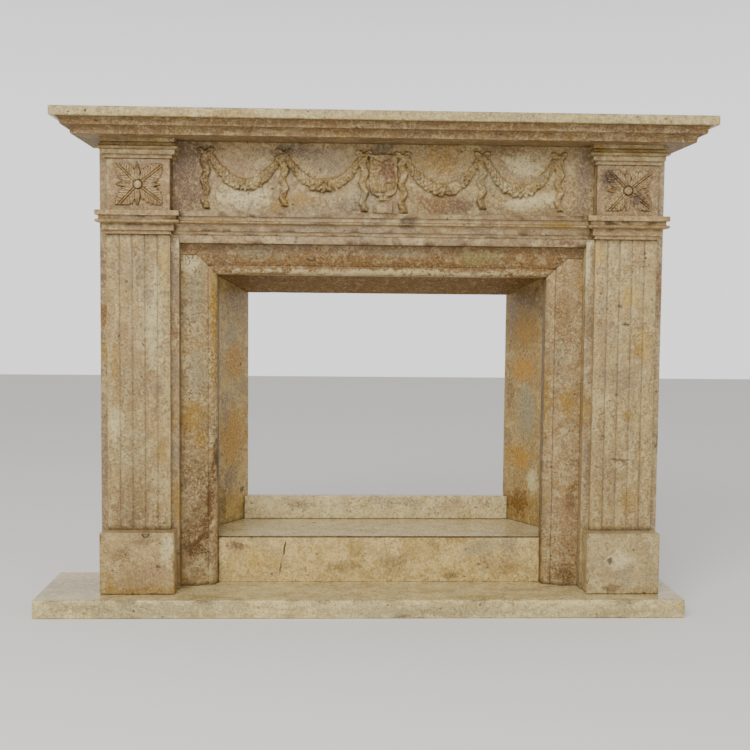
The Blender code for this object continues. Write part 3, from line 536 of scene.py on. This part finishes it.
def weather(made, rub, chips=()):
    # Arrises are rubbed inwards unevenly. A chip is a centre, a reach and a depth.
    made.normal_update()
    moves = []
    for vert in made.verts:
        folds = [edge.calc_face_angle_signed(0.0) for edge in vert.link_edges if len(edge.link_faces) == 2]
        sharp = min(1.0, max(folds + [0.0]) / wear["sharp"])
        where = vert.co / mm
        worn = noise.noise(where / wear["patch"]) + wear["fineShare"] * noise.noise(where / wear["fine"])
        inward = rub * sharp * (wear["least"] + max(0.0, worn - wear["start"]) * wear["gain"])
        for centre, reach, depth in chips:
            ragged = wear["chipRagged"] * noise.noise(where / wear["chipSize"])
            near = (where - Vector(centre)).length / reach + ragged
            if near < 1:
                inward = max(inward, depth * (1 - near) ** 0.6)
        moves.append((vert, vert.normal * inward * mm))
    for vert, move in moves:
        vert.co -= move


def markGrimeAndShade(made, soiled, low, high):
    # Painted shade darkens inward folds, and dirt gathers along the joints named in soiled: "z+" is the
    # top, "z+0.5" half dirty
    made.normal_update()
    layer = made.verts.layers.float.get("grimeAndShade") or made.verts.layers.float.new("grimeAndShade")
    darkenBy = made.verts.layers.float.get("darkenBy")
    for vert in made.verts:
        folds = [edge.calc_face_angle_signed(0.0) for edge in vert.link_edges if len(edge.link_faces) == 2]
        # An inward fold takes painted shade; marked rows and joints take dirt
        darkening = max(-min(folds + [0.0]) / math.radians(wear["fold"]), vert[darkenBy] if darkenBy else 0.0)
        if vert.co.y > high.y - wear["back"] * mm:
            darkening = 0.0
        for joint in soiled:
            axis = "xyz".index(joint[0])
            bound = high[axis] if joint[1] == "+" else low[axis]
            if abs(vert.co[axis] - bound) < wear["joint"] * mm:
                darkening = max(darkening, float(joint[2:] or 1))
        vert[layer] = min(1.0, max(0.0, darkening))


def settle(made, name, stands, sharp=32, soiled=(), grimeAndShade=True):
    # A bmesh becomes a piece that rides on the body and stands for its packed stone
    bmesh.ops.recalc_face_normals(made, faces=made.faces)
    if grimeAndShade:
        markGrimeAndShade(made, soiled, *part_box(stands))
    for face in made.faces:
        face.smooth = True
    for edge in made.edges:
        edge.smooth = edge.calc_face_angle(0.0) < math.radians(sharp)
    mesh = bpy.data.meshes.new(name)
    made.to_mesh(mesh)
    made.free()
    mesh.materials.append(stones[stands])
    piece = bpy.data.objects.new(name, mesh)
    scene.collection.objects.link(piece)
    even = piece.modifiers.new("evenNormals", "WEIGHTED_NORMAL")
    even.keep_sharp = True
    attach(piece, "root")
    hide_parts(stands)
    return piece


# Camera, floor and light

view = {
    "x": -142.3, "front": 3197.6, "height": 821.0,
    "turn": 0.04039, "tilt": -0.06569, "roll": 0.00941,       # radians to the right, up and clockwise
    "lens": 54.56,
}
turn, tilt = view["turn"], view["tilt"]
ahead = Vector((math.sin(turn) * math.cos(tilt), math.cos(turn) * math.cos(tilt), math.sin(tilt)))
aside = Vector((math.cos(turn), -math.sin(turn), 0.0))
above = aside.cross(ahead)
rolledAside = aside * math.cos(view["roll"]) + above * math.sin(view["roll"])
rolledAbove = above * math.cos(view["roll"]) - aside * math.sin(view["roll"])
turned = Matrix((rolledAside, rolledAbove, -ahead)).transposed()
camera = bpy.data.objects.new("camera", bpy.data.cameras.new("camera"))
camera.data.lens = view["lens"]
camera.data.sensor_width = 36
eye = Vector((view["x"], -view["front"], view["height"])) * mm
camera.matrix_world = Matrix.Translation(eye) @ turned.to_4x4()
scene.collection.objects.link(camera)
scene.camera = camera

light = {
    "horizon": 1.45, "zenith": 0.62, "fade": (0.10, 0.50),   # bright studio walls under a dim ceiling
    # lamp: place, aim, width, height, watts
    "key": ((-1.3, -3.6, 3.3), (0.0, -0.1, 0.6), 2.6, 1.8, 150),
    "fill": ((2.6, -3.2, 1.6), (0.0, -0.1, 0.6), 2.0, 2.0, 10),
    "flash": ((-0.14, -3.3, 1.0), (-0.1, -0.1, 0.1), 0.10, 0.10, 6),
}
world = bpy.data.worlds.new("studio")
scene.world = world
world.use_nodes = True
around = node(world.node_tree, "TexCoord")
height = node(world.node_tree, "SeparateXYZ", {0: around.outputs["Generated"]})
shine = node(world.node_tree, "MapRange", {"Value": height.outputs["Z"], "From Min": light["fade"][0],
                                           "From Max": light["fade"][1], "To Min": light["horizon"],
                                           "To Max": light["zenith"]}, interpolation_type="SMOOTHSTEP")
world.node_tree.links.new(shine.outputs[0], world.node_tree.nodes["Background"].inputs["Strength"])
world.node_tree.nodes["Background"].inputs["Color"].default_value = toLinear("#ffffff")
for name in ("key", "fill", "flash"):
    place, aim, wide, tall, watts = light[name]
    lamp = bpy.data.objects.new(name, bpy.data.lights.new(name, "AREA"))
    lamp.data.shape = "RECTANGLE"
    lamp.data.size = wide
    lamp.data.size_y = tall
    lamp.data.energy = watts
    facing = (Vector(aim) - Vector(place)).to_track_quat("-Z", "Y").to_matrix().to_4x4()
    lamp.matrix_world = Matrix.Translation(place) @ facing
    scene.collection.objects.link(lamp)

floorDrop = 0.5                          # under the hearth, so that the two faces don't meet
floorMade = bmesh.new()
bmesh.ops.create_grid(floorMade, x_segments=1, y_segments=1, size=9)
bmesh.ops.translate(floorMade, verts=floorMade.verts, vec=(0.0, 0.0, -floorDrop * mm))
floorMesh = bpy.data.meshes.new("studioFloor")
floorMade.to_mesh(floorMesh)
floorMade.free()
floorPaint = bpy.data.materials.new("paintedStudioFloor")
floorPaint.use_nodes = True
floorPaint.node_tree.nodes["Principled BSDF"].inputs["Base Color"].default_value = toLinear("#f1efea")
floorPaint.node_tree.nodes["Principled BSDF"].inputs["Roughness"].default_value = 0.9
floorMesh.materials.append(floorPaint)
floor = bpy.data.objects.new("studioFloor", floorMesh)
scene.collection.objects.link(floor)
print("camera, floor and lights set")


shaftLow, shaftHigh = cornersOf("shaft_left")
pierFace = -cornersOf("pier_left")[0].y  # depth of the piers' front
shaftFace = -shaftLow.y

# Planar stones: hearth, shelf, firebox and piers

slabs = {
    # node: new piece, slot, ease, pitch, rub, shading angle, soiled joints
    "hearth_slab": ("hearthSlab", "light_travertine", 0, 16, 1.2, 50, ()),
    "shelf_slab": ("shelfSlab", "light_travertine", 0, 9, 0.9, 50, ()),
    "firebox_floor": ("fireboxFloor", "light_travertine", 1.0, 18, 0.6, 35, ()),
    "floor_riser": ("floorRiser", "light_travertine", 1.0, 10, 0.7, 35, ("z+",)),
    "back_upstand": ("backUpstand", "light_travertine", 1.2, 12, 0.8, 35, ("x-", "x+", "z-")),
    "pier_left": ("pierLeft", "mottled_travertine", 0.9, 14, 0.7, 35, ("z-", "z+")),
    "pier_right": ("pierRight", "mottled_travertine", 0.9, 14, 0.7, 35, ("z-", "z+")),
    "cheek_left": ("cheekLeft", "ochre_travertine", 0.8, 16, 0.5, 35, ("z-",)),
    "cheek_right": ("cheekRight", "ochre_travertine", 0.8, 16, 0.5, 35, ("z-",)),
    "soffit": ("fireboxSoffit", "dark_travertine", 0.8, 18, 0.5, 35, ("x-", "x+")),
    "plinth_left": ("plinthLeft", "mottled_travertine", 0, 4, 1.0, 50, ("z-",)),
    "plinth_right": ("plinthRight", "mottled_travertine", 0, 5, 1.0, 50, ("z-",)),
}
# Each chip also has a small umber spot in its stone's look, painted shade in the chip
chips = {"plinth_left": [((-583, -254, 123), 6, 1.2)],
         "shelf_slab": [((-748, -332, 1272), 7, 2.5), ((-664, -332, 1283), 4, 1.5)],
         "hearth_slab": [((131, -136, 48), 8, 2.0)]}
for nodeName, (pieceName, slot, ease, pitch, rub, sharp, soiled) in slabs.items():
    made = copyOf(nodeName, ease, pitch)
    weather(made, rub, chips.get(nodeName, ()))
    settle(made, pieceName, nodeName, sharp, soiled)
print("flat stones cut")

# Shafts: five shallow reeds with a sharp groove between each two

reeds = {"count": 5, "rise": 3.2, "groove": 2.4, "curve": 10, "pitch": 14}     # curve: steps in a round
for word in ("Left", "Right"):
    nodeName = "shaft_" + word.lower()
    low, high = cornersOf(nodeName)
    plan = [(low.x, high.y), (low.x, -shaftFace + reeds["groove"])]
    width = (high.x - low.x) / reeds["count"]
    for reed in range(reeds["count"]):
        for step in range(1, reeds["curve"] + 1):
            share = step / reeds["curve"]
            front = -shaftFace + reeds["groove"] - reeds["rise"] * math.sin(math.pi * share)
            plan.append((low.x + width * (reed + share), max(front, low.y)))
    plan.append((high.x, high.y))
    rows = [[Vector((x, y, z)) * mm for x, y in plan] for z in steps(low.z, high.z, reeds["pitch"])]
    made = extrudeRows(rows)
    weather(made, rub=0.5)
    settle(made, "shaft" + word, nodeName, sharp=28, soiled=("z-", "z+"))
print("shafts reeded")


# Mouldings that return round both ends

def returned(left, right, front, pitch, backs, corner=()):
    # Plan of a moulding from one back end round the front to the other: a point, and how it moves with the
    # section's first number. Fixed points close the plan where one end reaches further back.
    ring = [(left, y, -1, 0) for y in steps(backs[0], -front, pitch)[:-1]]
    for x in steps(left, right, pitch):
        ring.append((x, -front, -1 if x == left else 1 if x == right else 0, -1))
    ring += [(right, y, 1, 0) for y in steps(-front, backs[1], pitch)[1:]]
    return ring + [(x, y, 0, 0) for x, y in corner]


def mouldedRows(section, ring, base):
    # A member set in from the corner pulls the points beside it along
    left, right = ring[0][0], max(x for x, y, sideways, forwards in ring if sideways)
    front = min(y for x, y, sideways, forwards in ring)
    rows = []
    for out, up in section:
        row = []
        for x, y, sideways, forwards in ring:
            place = Vector((x + sideways * out, y + forwards * out, base + up))
            place.x = min(max(place.x, left - out), right + out)
            place.y = max(place.y, front - out)
            row.append(place * mm)
        rows.append(row)
    return rows


# Sections: out from the shaft's face, and up from the stone's foot
necking = [(4, 0), (4, 8.6), (11, 9.4), (11, 27), (18, 27.4), *curve((18, 27.4), (18, 37), 8.0), (18, 46.5),
           (25.9, 47), (25.9, 59.7)]
capital = [(6, 0), (6, 8.6), (12.5, 9.4), *curve((12.5, 9.4), (12.5, 21.5), 1.5), (14, 21.9),
           *curve((14, 21.9), (17, 31), 8.0), *curve((17, 31), (9, 40.5), "cove", 6),
           (14, 41.2), (14, 50.7)]
for side, word in ((-1, "Left"), (1, "Right")):
    left, right = (shaftLow.x, shaftHigh.x) if side < 0 else (-shaftHigh.x, -shaftLow.x)
    for kind, section in (("necking", necking), ("capital", capital)):
        nodeName = kind + "_" + word.lower()
        low, high = cornersOf(nodeName)
        near = -pierFace - gap
        backs, corner = [near, near], []
        if high.y > near + 1:
            # The inner end of the capital runs back past the pier's face
            inner = side * (-shaftHigh.x - gap)
            backs[side < 0] = high.y
            corner = [(inner, high.y), (inner, near)]
        ring = returned(left, right, shaftFace, pitch=7, backs=backs, corner=corner[::-side])
        top = high.z - low.z
        fitted = [(out, min(up, top)) for out, up in section]
        made = extrudeRows(mouldedRows(eased(fitted, radius=0.7), ring, low.z))
        weather(made, rub=0.8)
        settle(made, kind + word, nodeName)

# Cornice: two coves under the shelf, set in from its edge, each with a small upright fillet below it
shelfLow, shelfHigh = cornersOf("shelf_slab")
corniceLow, corniceHigh = cornersOf("cornice")
coves = [(-44, 0), (-44, 3.5), *curve((-44, 3.5), (-27, 19.5), "cove"), (-23, 20), (-23, 22.5),
         *curve((-23, 22.5), (-12, corniceHigh.z - corniceLow.z), "cove")]
ring = returned(shelfLow.x, shelfHigh.x, -shelfLow.y, pitch=9, backs=(0.0, 0.0))
made = extrudeRows(mouldedRows(eased(coves, radius=0.7), ring, corniceLow.z))
weather(made, rub=1.0)
settle(made, "cornice", "cornice")
print("mouldings run")

# Architrave: the necking's lines run on between the piers, over a plain fascia

low, high = cornersOf("architrave")
neckLow = cornersOf("necking_left")[0]
run = [(high.y, low.z), (-pierFace, low.z), (-pierFace, neckLow.z - 0.2)]
run += [(-pierFace - out, min(neckLow.z + up, high.z)) for out, up in necking]
run += [(high.y, high.z)]
run = eased(run, radius=0.7, closed=True)
# Its mouldings go on over the piers and meet the neckings' returns in a mitre
proud = [(min(y, -pierFace - gap), max(z, neckLow.z)) for y, z in run]
mitred = [-shaftHigh.x + pierFace + y - gap for y, z in proud]
upright = [min(end, high.x) for end in mitred]
endRows = [(mitred, proud), (upright, proud), (upright, run)]
rows = [[Vector((-x, y, z)) * mm for x, (y, z) in zip(*row)] for row in endRows]
rows += [[Vector((x, y, z)) * mm for y, z in run] for x in steps(-min(mitred) + 1, min(mitred) - 1, 8)]
rows += [[Vector((x, y, z)) * mm for x, (y, z) in zip(*row)] for row in endRows[::-1]]
made = extrudeRows(rows)
weather(made, rub=0.8)
settle(made, "architrave", "architrave")

# Inner frame: flat face, a cant, a dark line and a broad bead, mitred at the corners

inner = {"bead": 23, "cant": 29, "line": 2, "beadFall": 19, "cantFall": 12, "curve": 12, "pitch": 12}
legLow, legHigh = cornersOf("frame_leg_right")
headLow, headHigh = cornersOf("frame_header")
frameFace, frameBack = -legLow.y, -legHigh.y        # depths of the frame's front and back
shoulder = inner["bead"] + inner["cant"]
dip = frameFace - inner["cantFall"]
section = [(0, frameBack), (0, dip - inner["beadFall"] - inner["line"])]
for step in range(inner["curve"] + 1):
    turn = math.pi / 2 * step / inner["curve"]
    section.append((inner["bead"] - inner["bead"] * math.cos(turn),
                    dip - inner["beadFall"] * (1 - math.sin(turn))))
section += [(inner["bead"] + inner["line"], dip - inner["line"]), (inner["bead"] + 2 * inner["line"], dip),
            (shoulder, frameFace)]
for side, word in ((-1, "Left"), (1, "Right")):
    inside, outside = legLow.x, legHigh.x
    own = eased(section + [(outside - inside, frameFace), (outside - inside, frameBack)],
                radius=0.6, closed=True)
    top = legHigh.z
    rows = [[Vector((side * (inside + out), -depth, z)) * mm for out, depth in own]
            for z in steps(legLow.z, headLow.z - 1, inner["pitch"])]
    for short in (2.7, 0.3):
        rows.append([Vector((side * (inside + out), -depth, min(headLow.z + out, top) - short)) * mm
                     for out, depth in own])
    made = extrudeRows(rows, soiled=(-1,))
    weather(made, rub=0.6)
    settle(made, "frameLeg" + word, "frame_leg_" + word.lower(),
           soiled=("z-", "x-0.6" if side > 0 else "x+0.6"))
tall = headHigh.z - headLow.z
own = eased(section + [(tall, frameFace), (tall, frameBack)], radius=0.6, closed=True)
reach, corner = headHigh.x, legLow.x
stopped = [headLow.z + max(out, shoulder) for out, depth in own]     # past the mitre the flat face goes on
rows = []
for end in (-1, 1):
    outer = [Vector((end * reach, -depth, z)) * mm for (out, depth), z in zip(own, stopped)]
    flush = [Vector((end * (corner + shoulder), -depth, z)) * mm for (out, depth), z in zip(own, stopped)]
    mitre = [Vector((end * (corner + min(out, shoulder)), -depth, headLow.z + out)) * mm
             for out, depth in own]
    if end < 0:
        rows += [outer, flush, mitre]
        rows += [[Vector((x, -depth, headLow.z + out)) * mm for out, depth in own]
                 for x in steps(-corner + 1, corner - 1, inner["pitch"])]
    else:
        rows += [mitre, flush, outer]
made = extrudeRows(rows)
weather(made, rub=0.6)
settle(made, "frameHeader", "frame_header")
print("frame mitred")


# Carving: heights over a stone's face, worked out on a fine grid

def softNoise(x, z, size, seed):
    # Smooth random hills of about this size, between -1 and 1
    lattice = np.random.default_rng(seed).random((64, 64)) * 2 - 1
    across, up = x / size + 31.7, z / size + 17.3
    column, row = np.floor(across).astype(int), np.floor(up).astype(int)
    across, up = across - column, up - row
    across, up = across * across * (3 - 2 * across), up * up * (3 - 2 * up)
    corners = [[lattice[(column + right) % 64, (row + over) % 64] for over in (0, 1)] for right in (0, 1)]
    near = corners[0][0] * (1 - across) + corners[1][0] * across
    far = corners[0][1] * (1 - across) + corners[1][1] * across
    return near * (1 - up) + far * up


def blurred(heights, reach):
    # Running mean both ways, twice
    count = 2 * reach + 1
    for turn in range(2):
        for axis in (0, 1):
            margin = [(reach + 1, reach) if index == axis else (0, 0) for index in (0, 1)]
            sums = np.cumsum(np.pad(heights, margin, mode="edge"), axis=axis)
            heights = (np.take(sums, range(count, sums.shape[axis]), axis)
                       - np.take(sums, range(sums.shape[axis] - count), axis)) / count
    return heights


def dome(distance):
    return np.sqrt(np.clip(1 - np.clip(distance, -1, 1) ** 2, 0, None))


def garland(x, z, swag, style):
    # A hanging rope of overlapping leaves that point to its middle, fullest at the bottom
    start, end, top, low = swag
    half = style["half"]
    drop = top - low - half
    fine = np.linspace(start, end, 400)
    line = top - drop * (1 - np.abs(2 * (fine - start) / (end - start) - 1) ** style["hang"])
    slope = np.gradient(line, fine)
    length = np.concatenate([[0], np.cumsum(np.hypot(np.diff(fine), np.diff(line)))])
    tilt = np.interp(x, fine, slope)
    off = (z - np.interp(x, fine, line)) / np.sqrt(1 + tilt ** 2)
    along = np.interp(x, fine, length) + off * tilt / np.sqrt(1 + tilt ** 2)
    fromEnd = np.minimum(along, length[-1] - along) + 1.6 * softNoise(x, z, 11, 41)
    swell = 0.40 + 0.60 * np.sin(np.pi * np.clip((x - start) / (end - start), 0, 1)) ** 0.9
    ragged = 1 + 0.22 * softNoise(x, z, 6, 43) + 0.16 * softNoise(x, z, 13, 44)
    side = off / (half * swell * ragged)
    leaves = 0.5 * dome(side)
    for row, lane in enumerate((-0.60, 0.0, 0.60)):
        rise = (fromEnd / style["leaf"] + 0.37 * row) % 1
        across = (side - lane) / (0.58 - 0.30 * rise ** 2)
        leaf = dome(across) ** 0.7 * (0.35 + 0.65 * rise ** 0.7)
        leaf *= 1 - 0.35 * max(lane, 0) - 0.1 * abs(lane)
        leaf *= 1 - 0.25 * np.exp(-(across / 0.16) ** 2)
        leaves = np.maximum(leaves, leaf)
    height = style["rise"] * (0.62 + 0.38 * swell) * leaves * (x > start) * (x < end)
    # A knot of berries and one pointed leaf hang at the bottom
    middle = (start + end) / 2
    for right, up in style["berries"]:
        ball = np.hypot(x - middle - right, z - low - half - up) / style["berry"]
        height = np.maximum(height, (style["rise"] + 1.0) * (0.5 + 0.5 * dome(ball)) * (ball < 1))
    tip = np.abs(x - middle) / np.clip(0.55 * (z - low + style["tip"]), 0.01, 9)
    hanging = (z > low - style["tip"]) & (z < low + 12)
    return np.maximum(height, 0.7 * style["rise"] * dome(tip) ** 0.6 * (tip < 1) * hanging)


def ribbonTail(x, z, across, top, style):
    # A folded ribbon end: a crease runs from edge to edge and back, and the ribbon falls away beside it
    fall = (top - z) / style["length"]
    swing = 2 * np.abs(fall * style["folds"] % 2 - 1) - 1
    off = (x - across - swing * style["swing"]) / (style["width"] / 2 * (1 - 0.2 * fall))
    height = style["rise"] * (1 - 0.4 * np.abs(off - 0.9 * swing)) * (np.abs(off) < 1)
    cord = 2.6 * dome((x - across + style["swing"]) / 2.4)
    return np.maximum(height, cord) * (fall > 0) * (fall < 1)


def bow(x, z, across, top, style):
    # Two flat loops, a knot and two short ends over each hanging point
    height = np.zeros_like(x)
    loop = style["loop"]
    cosine, sine = math.cos(style["lean"]), math.sin(style["lean"])
    for way in (-1, 1):
        right, up = x - across - way * loop * 1.15, z - top - 3
        along, aside = right * cosine + way * up * sine, up * cosine - way * right * sine
        out = np.hypot(along / (loop * 1.15), aside / (loop * 0.7))
        height = np.maximum(height, style["rise"] * (0.45 + 0.55 * out) * dome(out ** 3) * (out < 1))
        right, up = x - across - way * 5, z - top + 9
        strip = (right + way * up * 0.6) / 3.6
        height = np.maximum(height, style["rise"] * 0.7 * dome(strip) * (np.abs(up) < 10))
    knot = np.hypot((x - across) / 4.8, (z - top) / 5.5)
    return np.maximum(height, (style["rise"] + 1.5) * dome(knot))


def urnForm(x, z, style):
    # A deep bucket with a flat rim, upright lobes round its belly, a cloth over its shoulder and a low foot
    levels, radii = np.array(style["profile"]).T
    sideways = x - style["middle"]
    radius = np.interp(z, levels, radii, left=0.01, right=0.01)
    across = np.clip(sideways / radius, -1, 1)
    turn = np.arcsin(across)
    inside = np.abs(across) < 1
    height = style["rise"] * (0.35 + 0.65 * dome(across)) * (0.55 + 0.45 * radius / radii.max())
    low, high = style["lobes"]
    bulge = np.sqrt(np.clip((z - low) * (high - z), 0, None)) / (high - low) * 2
    height *= 1 - 0.30 * bulge ** 0.5 * np.abs(np.sin(turn * style["lobeCount"] / 2)) ** 3
    for level, thick in style["rims"]:
        height += 2.2 * np.exp(-((z - level) / thick) ** 2)
    height *= inside
    # The cloth falls in curved folds from the rim's left to the belly's right
    for fall in style["folds"]:
        sag = z - (style["clothTop"] - fall - 0.28 * sideways + 0.010 * sideways ** 2)
        height += 2.4 * dome(sag / 3.6) * inside * (z < style["clothTop"] + 8)
    wide, base, top = style["foot"]
    inFoot = (np.abs(sideways) < wide) & (z > base) & (z < top)
    panel = (np.abs(sideways) < wide - 6) & (z > base + 6) & (z < top - 6)
    height *= 1 + 0.22 * softNoise(x, z, 8, 51)
    return np.maximum(height, np.where(inFoot, style["rise"] * 0.22 - 1.4 * panel, 0))


rims = {"fade": 2.5, "drop": 0.7, "round": 1.6, "darkening": 0.6, "dirtReach": 1.4}    # round a carved face
deepest = -3                             # no cut goes further under the face


def carvedPanel(name, nodeName, pitch, relief, face, darkenBy):
    # A grid turned upright, its points lifted by the relief, with sides and a flat back
    low, high = cornersOf(nodeName)
    wide, tall = high.x - low.x, high.z - low.z
    across, up = round(wide / pitch), round(tall / pitch)
    x, z = np.meshgrid(np.linspace(low.x, high.x, across + 1), np.linspace(low.z, high.z, up + 1),
                       indexing="ij")
    rim = np.minimum(np.minimum(x - low.x, high.x - x), np.minimum(z - low.z, high.z - z))
    heights = np.clip(relief(x, z), deepest, face - low.y) * np.clip(rim / rims["fade"], 0, 1)
    heights -= rims["drop"] * np.clip(1 - rim / rims["round"], 0, 1)
    # Painted shadow lies where the stone just above, or close around, stands higher
    above = np.roll(heights, -round(darkenBy[1] / pitch), axis=1)
    darkening = np.clip((blurred(above, max(1, round(darkenBy[0] / pitch))) - heights) / darkenBy[2], 0, 1)
    # Dirt darkens a thin line along the rim, where the stone meets its neighbours
    darkening = np.maximum(darkening, rims["darkening"] * np.clip(rims["dirtReach"] - rim, 0, 1))
    made = bmesh.new()
    bmesh.ops.create_grid(made, x_segments=across, y_segments=up, size=0.5)
    upright = Matrix.Translation(Vector(((low.x + high.x) / 2, face, (low.z + high.z) / 2)) * mm)
    upright = upright @ Matrix.Rotation(math.pi / 2, 4, "X") @ Matrix.Diagonal((wide * mm, tall * mm, 1, 1))
    bmesh.ops.transform(made, matrix=upright, verts=made.verts)
    layer = made.verts.layers.float.new("grimeAndShade")
    for vert in made.verts:
        column = round((vert.co.x / mm - low.x) / wide * across)
        row = round((vert.co.z / mm - low.z) / tall * up)
        vert.co.y -= heights[column, row] * mm
        vert[layer] = darkening[column, row]
    border = [edge for edge in made.edges if edge.is_boundary]
    for item in bmesh.ops.extrude_edge_only(made, edges=border)["geom"]:
        if isinstance(item, bmesh.types.BMVert):
            item.co.y = high.y * mm
            item[layer] = 0.0
    bmesh.ops.holes_fill(made, edges=[edge for edge in made.edges if edge.is_boundary], sides=0)
    settle(made, name, nodeName, sharp=60, grimeAndShade=False)


friezeStyle = {
    "face": 178, "pitch": 1.65,             # depth of its flat ground, and spacing of the grid
    "darkenBy": (3.0, 3.5, 5.5),                # painted shadow under the relief: blur, how far above, and height that makes it full
    # swags: left end, right end, height of the ends, lowest edge
    "swags": [(-460, -271, 1201, 1107), (-262, -58, 1202, 1106),
              (53, 253, 1200, 1099), (264, 455, 1199, 1098)],
    # tails: place, top, length
    "tails": [(-470, 1206, 148), (-265, 1206, 140), (-55, 1204, 150), (48, 1202, 150), (257, 1206, 142),
              (463, 1206, 145)],
    "garland": {"half": 15, "hang": 2.25, "leaf": 13, "rise": 13.5, "berry": 4.4, "tip": 5,
                "berries": [(-14, 0), (-6, -5), (2, 1), (8, -4), (15, 2), (-4, 8), (6, 8)]},
    "tail": {"folds": 6, "swing": 4.5, "width": 20, "rise": 11},
    "bow": {"loop": 10, "lean": 0.5, "rise": 8.0},
    "urn": {"middle": -3, "rise": 15, "lobes": (1100, 1152), "lobeCount": 9,
            "rims": [(1200, 3), (1096, 2), (1086, 2)],
            "clothTop": 1186, "folds": (0, 11, 22), "foot": (25, 1049, 1083),
            "profile": [(1082, 20), (1087, 20), (1088.5, 13), (1094, 13), (1096, 22), (1100, 29),
                        (1106, 33), (1116, 36), (1130, 38), (1165, 37), (1196, 36), (1197, 39),
                        (1203, 39), (1204, 0.01)]},
}


def friezeRelief(x, z):
    style = friezeStyle
    forms = [ribbonTail(x, z, across, top, dict(style["tail"], length=length))
             for across, top, length in style["tails"]]
    forms += [garland(x, z, swag, style["garland"]) for swag in style["swags"]]
    forms += [bow(x, z, across, top - 2, style["bow"]) for across, top, length in style["tails"]]
    forms.append(urnForm(x, z, style["urn"]))
    heights = np.maximum(0, np.max(forms, axis=0))
    heights = heights * (0.88 + 0.24 * softNoise(x, z, 26, 3) + 0.24 * softNoise(x, z, 6, 4))
    heights = blurred(heights, 1) * 0.2 + heights * 0.8
    return heights + 0.35 * softNoise(x, z, 38, 5) + 0.15 * softNoise(x, z, 7, 9)


rosette = {
    "leaves": (38, 135, 227, 323),           # turns of the four broad leaves, which reach for the corners
    "reach": 84, "half": 25, "lobe": 13, "rise": 6.5, "midrib": 2.8, "vein": 9,
    "darts": (0, 92, 180, 268),              # and of the four narrow ones between them
    "dartReach": 59, "dartHalf": 6.5, "dartRise": 7.6,
    "boss": 10.5, "bossRise": 9.0, "field": (62, 53),
    # On the rosettes the painted shade fills the hollows between the leaves, with nothing shifted from
    # above
    "pitch": 1.05, "darkenBy": (2.2, 0, 2.4),
}


def turnedTo(x, z, degrees):
    # Distance along a leaf, and beside it
    turn = math.radians(degrees)
    return x * math.cos(turn) + z * math.sin(turn), np.abs(z * math.cos(turn) - x * math.sin(turn))


def rosetteRelief(middle, worn, seed, cavity):
    def relief(x, z):
        style = rosette
        x, z = x - middle[0], z - middle[1]
        heights = np.zeros_like(x)
        for degrees in style["darts"]:
            along, aside = turnedTo(x, z, degrees)
            share = np.clip(along / style["dartReach"], 0, 1)
            half = style["dartHalf"] * np.sin(np.pi * np.clip(0.12 + 0.88 * share, 0, 1)) + 0.01
            dart = style["dartRise"] * (0.4 + 0.6 * np.clip(aside / half, 0, 1)) * (aside < half)
            heights = np.maximum(heights, dart * (along > 6) * (along < style["dartReach"]))
        for degrees in style["leaves"]:
            along, aside = turnedTo(x, z, degrees)
            share = np.clip(along / style["reach"], 0, 1)
            tooth = ((along - 0.4 * aside) / style["lobe"]) % 1
            half = style["half"] * np.sin(np.pi * share ** 0.95) ** 0.75 * (0.80 + 0.26 * tooth) + 0.01
            body = style["rise"] * dome(aside / half) ** 0.5 * (along > 5) * (share < 1)
            body *= 1 - 0.62 * np.exp(-((aside - style["midrib"]) / 1.0) ** 2)
            vein = ((along - 0.9 * aside) / style["vein"]) % 1
            body *= 1 - 0.30 * np.exp(-((vein - 0.5) / 0.15) ** 2) * (aside > 2 * style["midrib"])
            heights = np.maximum(heights, body)
        out = np.hypot(x, z)
        heights *= 1 - 0.8 * np.exp(-((out - style["boss"] - 1.5) / 1.6) ** 2)
        boss = style["bossRise"] * (0.75 + 0.25 * dome(out / style["boss"])) * (out < style["boss"])
        heights = np.maximum(heights, boss)
        inField = (np.abs(x) < style["field"][0]) & (np.abs(z) < style["field"][1])
        heights *= (1 - worn * np.clip(softNoise(x, z, 19, seed) + 0.35, 0, 1)) * inField
        if cavity:
            right, up, wide, tall = cavity
            hole = np.hypot((x - right) / wide, (z - up) / tall) + 0.2 * softNoise(x, z, 7, seed)
            heights = np.where(hole < 1, np.minimum(heights, 1.0) - 1.8 * dome(hole), heights)
        return heights + 0.3 * softNoise(x, z, 12, seed + 1)
    return relief


carvedPanel("friezePanel", "frieze_panel", friezeStyle["pitch"], friezeRelief,
            -friezeStyle["face"], friezeStyle["darkenBy"])
print("frieze carved")

blocks = {
    # side: wear, seed, cavity as place, half width and half height
    "Left": (0.25, 11, None),
    "Right": (0.55, 23, (23, -26, 8, 13)),
}
for word, (worn, seed, cavity) in blocks.items():
    nodeName = "corner_block_" + word.lower()
    low, high = cornersOf(nodeName)
    relief = rosetteRelief(((low.x + high.x) / 2, (low.z + high.z) / 2), worn, seed, cavity)
    carvedPanel("cornerBlock" + word, nodeName, rosette["pitch"], relief, -shaftFace,
                rosette["darkenBy"])
print("rosettes carved")
